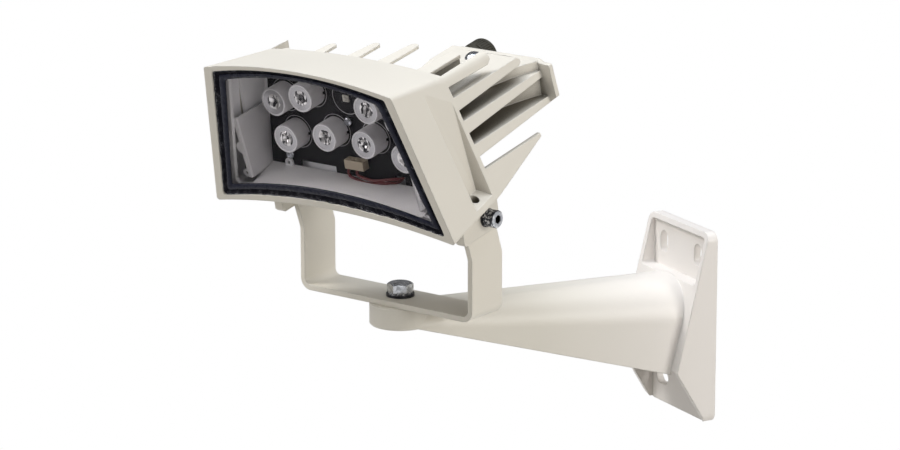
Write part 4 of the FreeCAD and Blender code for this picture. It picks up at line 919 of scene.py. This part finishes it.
# the rim's highlight, the well's sparkle and the pit's shade are painted in their colours
lens_rim_painted_highlight = lens_zone("lens_rim_painted_highlight", rgb(0.93, 0.93, 0.95), rough=0.2, metal=0.0)
lens_face = lens_zone("lens_face", rgb(0.58, 0.58, 0.60), rough=0.1, metal=0.2)
lens_well_painted_sparkle = painted_lens_sparkle()
lens_pit_painted_shade = lens_zone("lens_pit_painted_shade", rgb(0.015, 0.015, 0.018), rough=0.1, metal=0.0)
lens_finishes = [lens_rim_painted_highlight, lens_face, lens_well_painted_sparkle, lens_pit_painted_shade]
print("lens finishes made")

# %% [markdown]
# ## Turning a lens
#
# A turned piece starts as a circle. It is extruded and scaled step by step along its axis, as a
# turner follows a profile. The profile goes up the back of the cap, over its rim, across the
# face and down into the well. The faces of each zone are then told apart by their distance from
# the axis.

# %% The first lens
LENS_SIDES = 24
LENS_PROFILE = ((4.0, -9.2), (9.3, -2.2), (9.4, 0.05), (10.55, 0.05), (10.75, 0.25), (10.75, 0.75),
                (10.5, 1.0), (9.7, 1.0), (9.3, 0.6), (6.0, 0.1), (5.4, 0.5), (4.4, 0.4),
                (3.1, -0.6), (1.5, -1.6), (0.5, -1.9))
FACE_WITHIN, WELL_WITHIN, PIT_WITHIN = 9.0, 5.7, 1.2
CAP_INSIDE = -3.0  # lower faces belong to the back of the cap


def turned(name, sides, profile):
    """A solid of revolution along Z, from (radius, height) pairs in millimetres."""
    clear_selection()
    radius, height = profile[0]
    bpy.ops.mesh.primitive_circle_add(vertices=sides, radius=radius / 1000, fill_type="NGON",
                                      location=(0, 0, height / 1000))
    piece = bpy.context.object
    piece.name = name
    bpy.ops.object.transform_apply()
    bpy.ops.object.mode_set(mode="EDIT")
    bpy.ops.mesh.select_all(action="SELECT")
    for wider, higher in profile[1:]:
        rise = (0, 0, (higher - height) / 1000)
        scale = (wider / radius, wider / radius, 1)
        bpy.ops.mesh.extrude_region_move(TRANSFORM_OT_translate={"value": rise})
        bpy.ops.transform.resize(value=scale, center_override=(0, 0, 0))
        radius, height = wider, higher
    bpy.ops.object.mode_set(mode="OBJECT")
    tidy_mesh(piece)
    return piece


def lens_zone_of(face):
    """The number of the finish that a face of the lens gets."""
    reach = math.hypot(face.center.x, face.center.y) * 1000
    level = face.center.z * 1000
    if level > 0 and WELL_WITHIN < reach < FACE_WITHIN:
        return 1
    if level > CAP_INSIDE and reach <= WELL_WITHIN:
        return 2 if reach > PIT_WITHIN else 3
    return 0


first_lens = turned("lens_1", LENS_SIDES, LENS_PROFILE)
for face in first_lens.data.polygons:
    face.material_index = lens_zone_of(face)
print("lens faces", len(first_lens.data.polygons))

# %% [markdown]
# ## Eight lenses
#
# The lens is modelled once and copied, each copy with its own mesh. Each is turned a little
# further about its axis than the one before, so that no two sparkle alike, and faces straight
# out of the window in front of its holder.

# %% Eight lenses
LENS_SPOTS = ((-56.3, 87.8), (-30.2, 94.5), (29.7, 94.0), (56.3, 87.8),
              (-49.9, 59.7), (-12.9, 66.2), (23.1, 66.0), (58.0, 60.3))
LENS_FRONT = -45.6
LENS_TURN = 0.13


def facing_out(x, y, z):
    """A place on the head whose own Z points out of the window."""
    place = Matrix.Translation(Vector((x, y, z)) / 1000)
    return HEAD @ place @ Matrix.Rotation(math.radians(90), 4, "X")


lenses = [first_lens]
for i in range(1, len(LENS_SPOTS)):
    lens = bpy.data.objects.new("lens_" + str(i + 1), first_lens.data.copy())
    bpy.context.scene.collection.objects.link(lens)
    lenses.append(lens)
for i, (x, z) in enumerate(LENS_SPOTS):
    place = facing_out(x, LENS_FRONT, z) @ Matrix.Rotation(LENS_TURN * i, 4, "Z")
    seat(lenses[i], place, lens_finishes)
    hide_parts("lenses")
print("lenses", len(lenses))

# %% [markdown]
# ## Printed rings on the board
#
# A thin white ring is printed round each holder and round the bare emitter. It could be painted
# by a mask, but a real rim keeps it crisp at any size. So each is an endless band with a flat
# profile, a few hundredths of a millimetre thick, laid on the board.

# %% Rings
BOARD_FRONT = -31.6
BARE_EMITTER = (0.6, 93.3)
RING_SPOTS = LENS_SPOTS + (BARE_EMITTER,)
RING_SIDES = 64
RING_INNER, RING_OUTER, RING_THICKNESS = 12.2, 12.75, 0.06


def print_white():
    ink = Finish("print_white")
    wear = ink.noise(1200.0, detail=3.0)
    return ink.surface(Base_Color=ink.blend(wear, rgb(0.30, 0.30, 0.31), rgb(0.62, 0.62, 0.63)),
                       Roughness=wear * 0.2 + 0.4)


def flat_ring(name, sides, inner, outer, thick):
    """An annulus along Z that stands on the plane z = 0, in millimetres."""
    turns = [math.tau * i / sides for i in range(sides)]
    rows = []
    for radius, level in ((inner, 0.0), (outer, 0.0), (outer, thick), (inner, thick)):
        rows.append([Vector((radius * math.cos(turn), radius * math.sin(turn), level)) / 1000
                     for turn in turns])
    return banded(name, rows)


white_ink = print_white()
for i, (x, z) in enumerate(RING_SPOTS):
    ring = flat_ring("board_ring_" + str(i + 1), RING_SIDES, RING_INNER, RING_OUTER,
                     RING_THICKNESS)
    seat(ring, facing_out(x, BOARD_FRONT, z), [white_ink])
print("rings", len(RING_SPOTS))

# %% [markdown]
# ## The right shield
#
# The upright plate on the right stands a little further in than its twin, so that its narrow
# front edge shows beside the last lens. It is a folded plate: a side, a front flange that leans
# with the glass, and two ears with screw holes. Each is shaped by itself, and all are joined.

# %% Sizes of the right shield
SHIELD_INNER = 73.6
SHIELD_FRONT, SHIELD_BACK = -51.2, -31.8
SHIELD_FOOT, FLANGE_FOOT, SHIELD_TOP = 23.5, 28.0, 78.0
PLATE = 1.5
FLANGE_WIDTH, FLANGE_BACK = 3.6, -49.7
EAR_HEIGHTS, EAR_OUT = (31.5, 73.7), 3.1
EAR_SIDES, EAR_HOLE, EAR_RADIUS = 32, 1.4, 3.0


def leaning_slab(name, low, high, lean_back):
    """A box between two corners in millimetres, whose front leans, and its back too if wished."""
    clear_selection()
    bpy.ops.mesh.primitive_cube_add(size=1.0)
    slab = bpy.context.object
    slab.name = name
    for corner in slab.data.vertices:
        at_back = corner.co.y > 0
        spot = [low[i] if corner.co[i] < 0 else high[i] for i in range(3)]
        if lean_back or not at_back:
            spot[1] -= spot[2] * math.tan(LEAN)
        corner.co = Vector(spot) / 1000
    return slab


print("shield from", SHIELD_FOOT, "to", SHIELD_TOP, "above the tilt axis, in millimetres")

# %% [markdown]
# The pieces of the shield are made in the head's own directions and joined, then seated as one.

# %% Right shield
side = leaning_slab("shield_inner_right", (SHIELD_INNER, SHIELD_FRONT, SHIELD_FOOT),
                    (SHIELD_INNER + PLATE, SHIELD_BACK, SHIELD_TOP), False)
flange = leaning_slab("flange", (SHIELD_INNER, SHIELD_FRONT, FLANGE_FOOT),
                      (SHIELD_INNER + FLANGE_WIDTH, FLANGE_BACK, SHIELD_TOP), True)
ears = []
for z in EAR_HEIGHTS:
    ear = flat_ring("ear", EAR_SIDES, EAR_HOLE, EAR_RADIUS, PLATE)
    spot = Vector((SHIELD_INNER + EAR_OUT, FLANGE_BACK - z * math.tan(LEAN), z)) / 1000
    leaning = Matrix.Rotation(math.radians(90) + LEAN, 4, "X")
    apply_place(ear, Matrix.Translation(spot) @ leaning)
    ears.append(ear)
clear_selection()
for piece in [flange] + ears + [side]:
    piece.select_set(True)
bpy.context.view_layer.objects.active = side
bpy.ops.object.join()
seat(side, HEAD, [shield_grey])
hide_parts("shield_right")
print("right shield faces", len(side.data.polygons))

# %% [markdown]
# ## The floor
#
# The lamp hangs from a wall, so the floor lies well below it. To the camera, in gloss and
# through glass it is plain white, as in a catalogue. To all other light it is a matt mid-tone,
# so that it doesn't throw more light on the lamp from below than a studio's floor would.

# %% Floor
FLOOR_SIZE, FLOOR_LEVEL = 7.0, -0.9


def camera_white(name, tone, second_tone):
    """Plain white to the camera, to gloss and through glass, a matt surface to the rest."""
    pale = Finish(name)
    mottle = pale.noise(3.0)
    matt = pale.node("ShaderNodeBsdfDiffuse", {}, {"Color": pale.blend(mottle, tone, second_tone)})
    white = pale.node("ShaderNodeEmission", {}, {"Color": rgb(1.0, 1.0, 1.0), "Strength": 1.0})
    seen = pale.node("ShaderNodeLightPath", {}, {}, "Is Camera Ray")
    shiny = pale.node("ShaderNodeLightPath", {}, {}, "Is Glossy Ray")
    through = pale.node("ShaderNodeLightPath", {}, {}, "Is Transmission Ray")
    share = seen.math("MAXIMUM", shiny).math("MAXIMUM", through)
    return pale.finish_with(pale.mixed(share, matt, white))


clear_selection()
bpy.ops.mesh.primitive_plane_add(size=FLOOR_SIZE, location=(0, 0, FLOOR_LEVEL))
floor = bpy.context.object
floor.name = "floor"
floor.data.materials.append(
    camera_white("floor_white", rgb(0.50, 0.48, 0.44), rgb(0.48, 0.46, 0.42)))
print("floor at", floor.location.z)

# %% [markdown]
# ## The world
#
# The world is the backdrop. The camera sees it as white, also through the glass, but it lights
# the lamp only faintly, so that the lamps give the shades. A world has a tree of nodes as a
# material has, so the same helpers build it.

# %% World
WORLD_LIGHT = 0.17


class Sky(Finish):
    """A world under construction."""

    output_kind = "ShaderNodeOutputWorld"

    def __init__(self, name):
        self.begin(bpy.data.worlds.new(name))


sky = Sky("studio")
seen = sky.node("ShaderNodeLightPath", {}, {}, "Is Camera Ray")
through = sky.node("ShaderNodeLightPath", {}, {}, "Is Transmission Ray")
clear_view = seen.math("MAXIMUM", through)
level = sky.node("ShaderNodeMapRange", {}, (clear_view, 0.0, 1.0, WORLD_LIGHT, 1.0))
backdrop = {"Color": rgb(1.0, 1.0, 1.0), "Strength": level}
bpy.context.scene.world = sky.finish_with(sky.node("ShaderNodeBackground", {}, backdrop))
print("world lights at", WORLD_LIGHT)

# %% [markdown]
# ## Lamps
#
# Six soft round lamps stand about the object. A broad cool one overhead and a key from the left
# front give the form, warm ones behind and on the right draw the arm and the fins, a weak one
# behind lifts the top edges, and a low one in front looks into the window. Their strength stays
# low enough that the pale coat keeps its tone and doesn't clip to white.

# %% Lamps
LAMP_AIM = (0.0, -0.25, 0.12)
LAMPS = (  # name, place, width, power, colour
    ("overhead", (0.0, -0.6, 2.4), 1.6, 33.5, (0.84, 0.90, 1.0)),
    ("back", (0.3, 0.6, 2.2), 1.0, 7.5, (0.97, 0.98, 1.0)),
    ("right_back", (2.0, 1.0, 0.5), 1.2, 25.0, (1.0, 0.97, 0.93)),
    ("right", (2.2, -0.2, 0.8), 1.2, 8.0, (1.0, 0.97, 0.92)),
    ("left_front", (-0.8, -1.6, 1.8), 0.8, 30.0, (1.0, 0.98, 0.95)),
    ("front", (-0.5, -2.2, 0.5), 1.0, 10.5, (1.0, 0.98, 0.96)),
)
for name, place, width, power, tone in LAMPS:
    light = bpy.data.lights.new(name, "AREA")
    light.shape = "DISK"
    light.size = width
    light.energy = power
    light.color = tone
    lamp = bpy.data.objects.new(name, light)
    lamp.location = place
    look = Vector(LAMP_AIM) - Vector(place)
    lamp.rotation_euler = look.to_track_quat("-Z", "Y").to_euler()
    bpy.context.scene.collection.objects.link(lamp)
print("lamps", len(LAMPS))

# %% [markdown]
# ## Plain colour
#
# Blender's usual view rolls bright colours off, as film does. The Standard view shows a colour
# as its finish states it, which is what a pale coat on a white ground needs.

# %% Plain colour output
bpy.context.scene.view_settings.view_transform = "Standard"
print("view", bpy.context.scene.view_settings.view_transform)
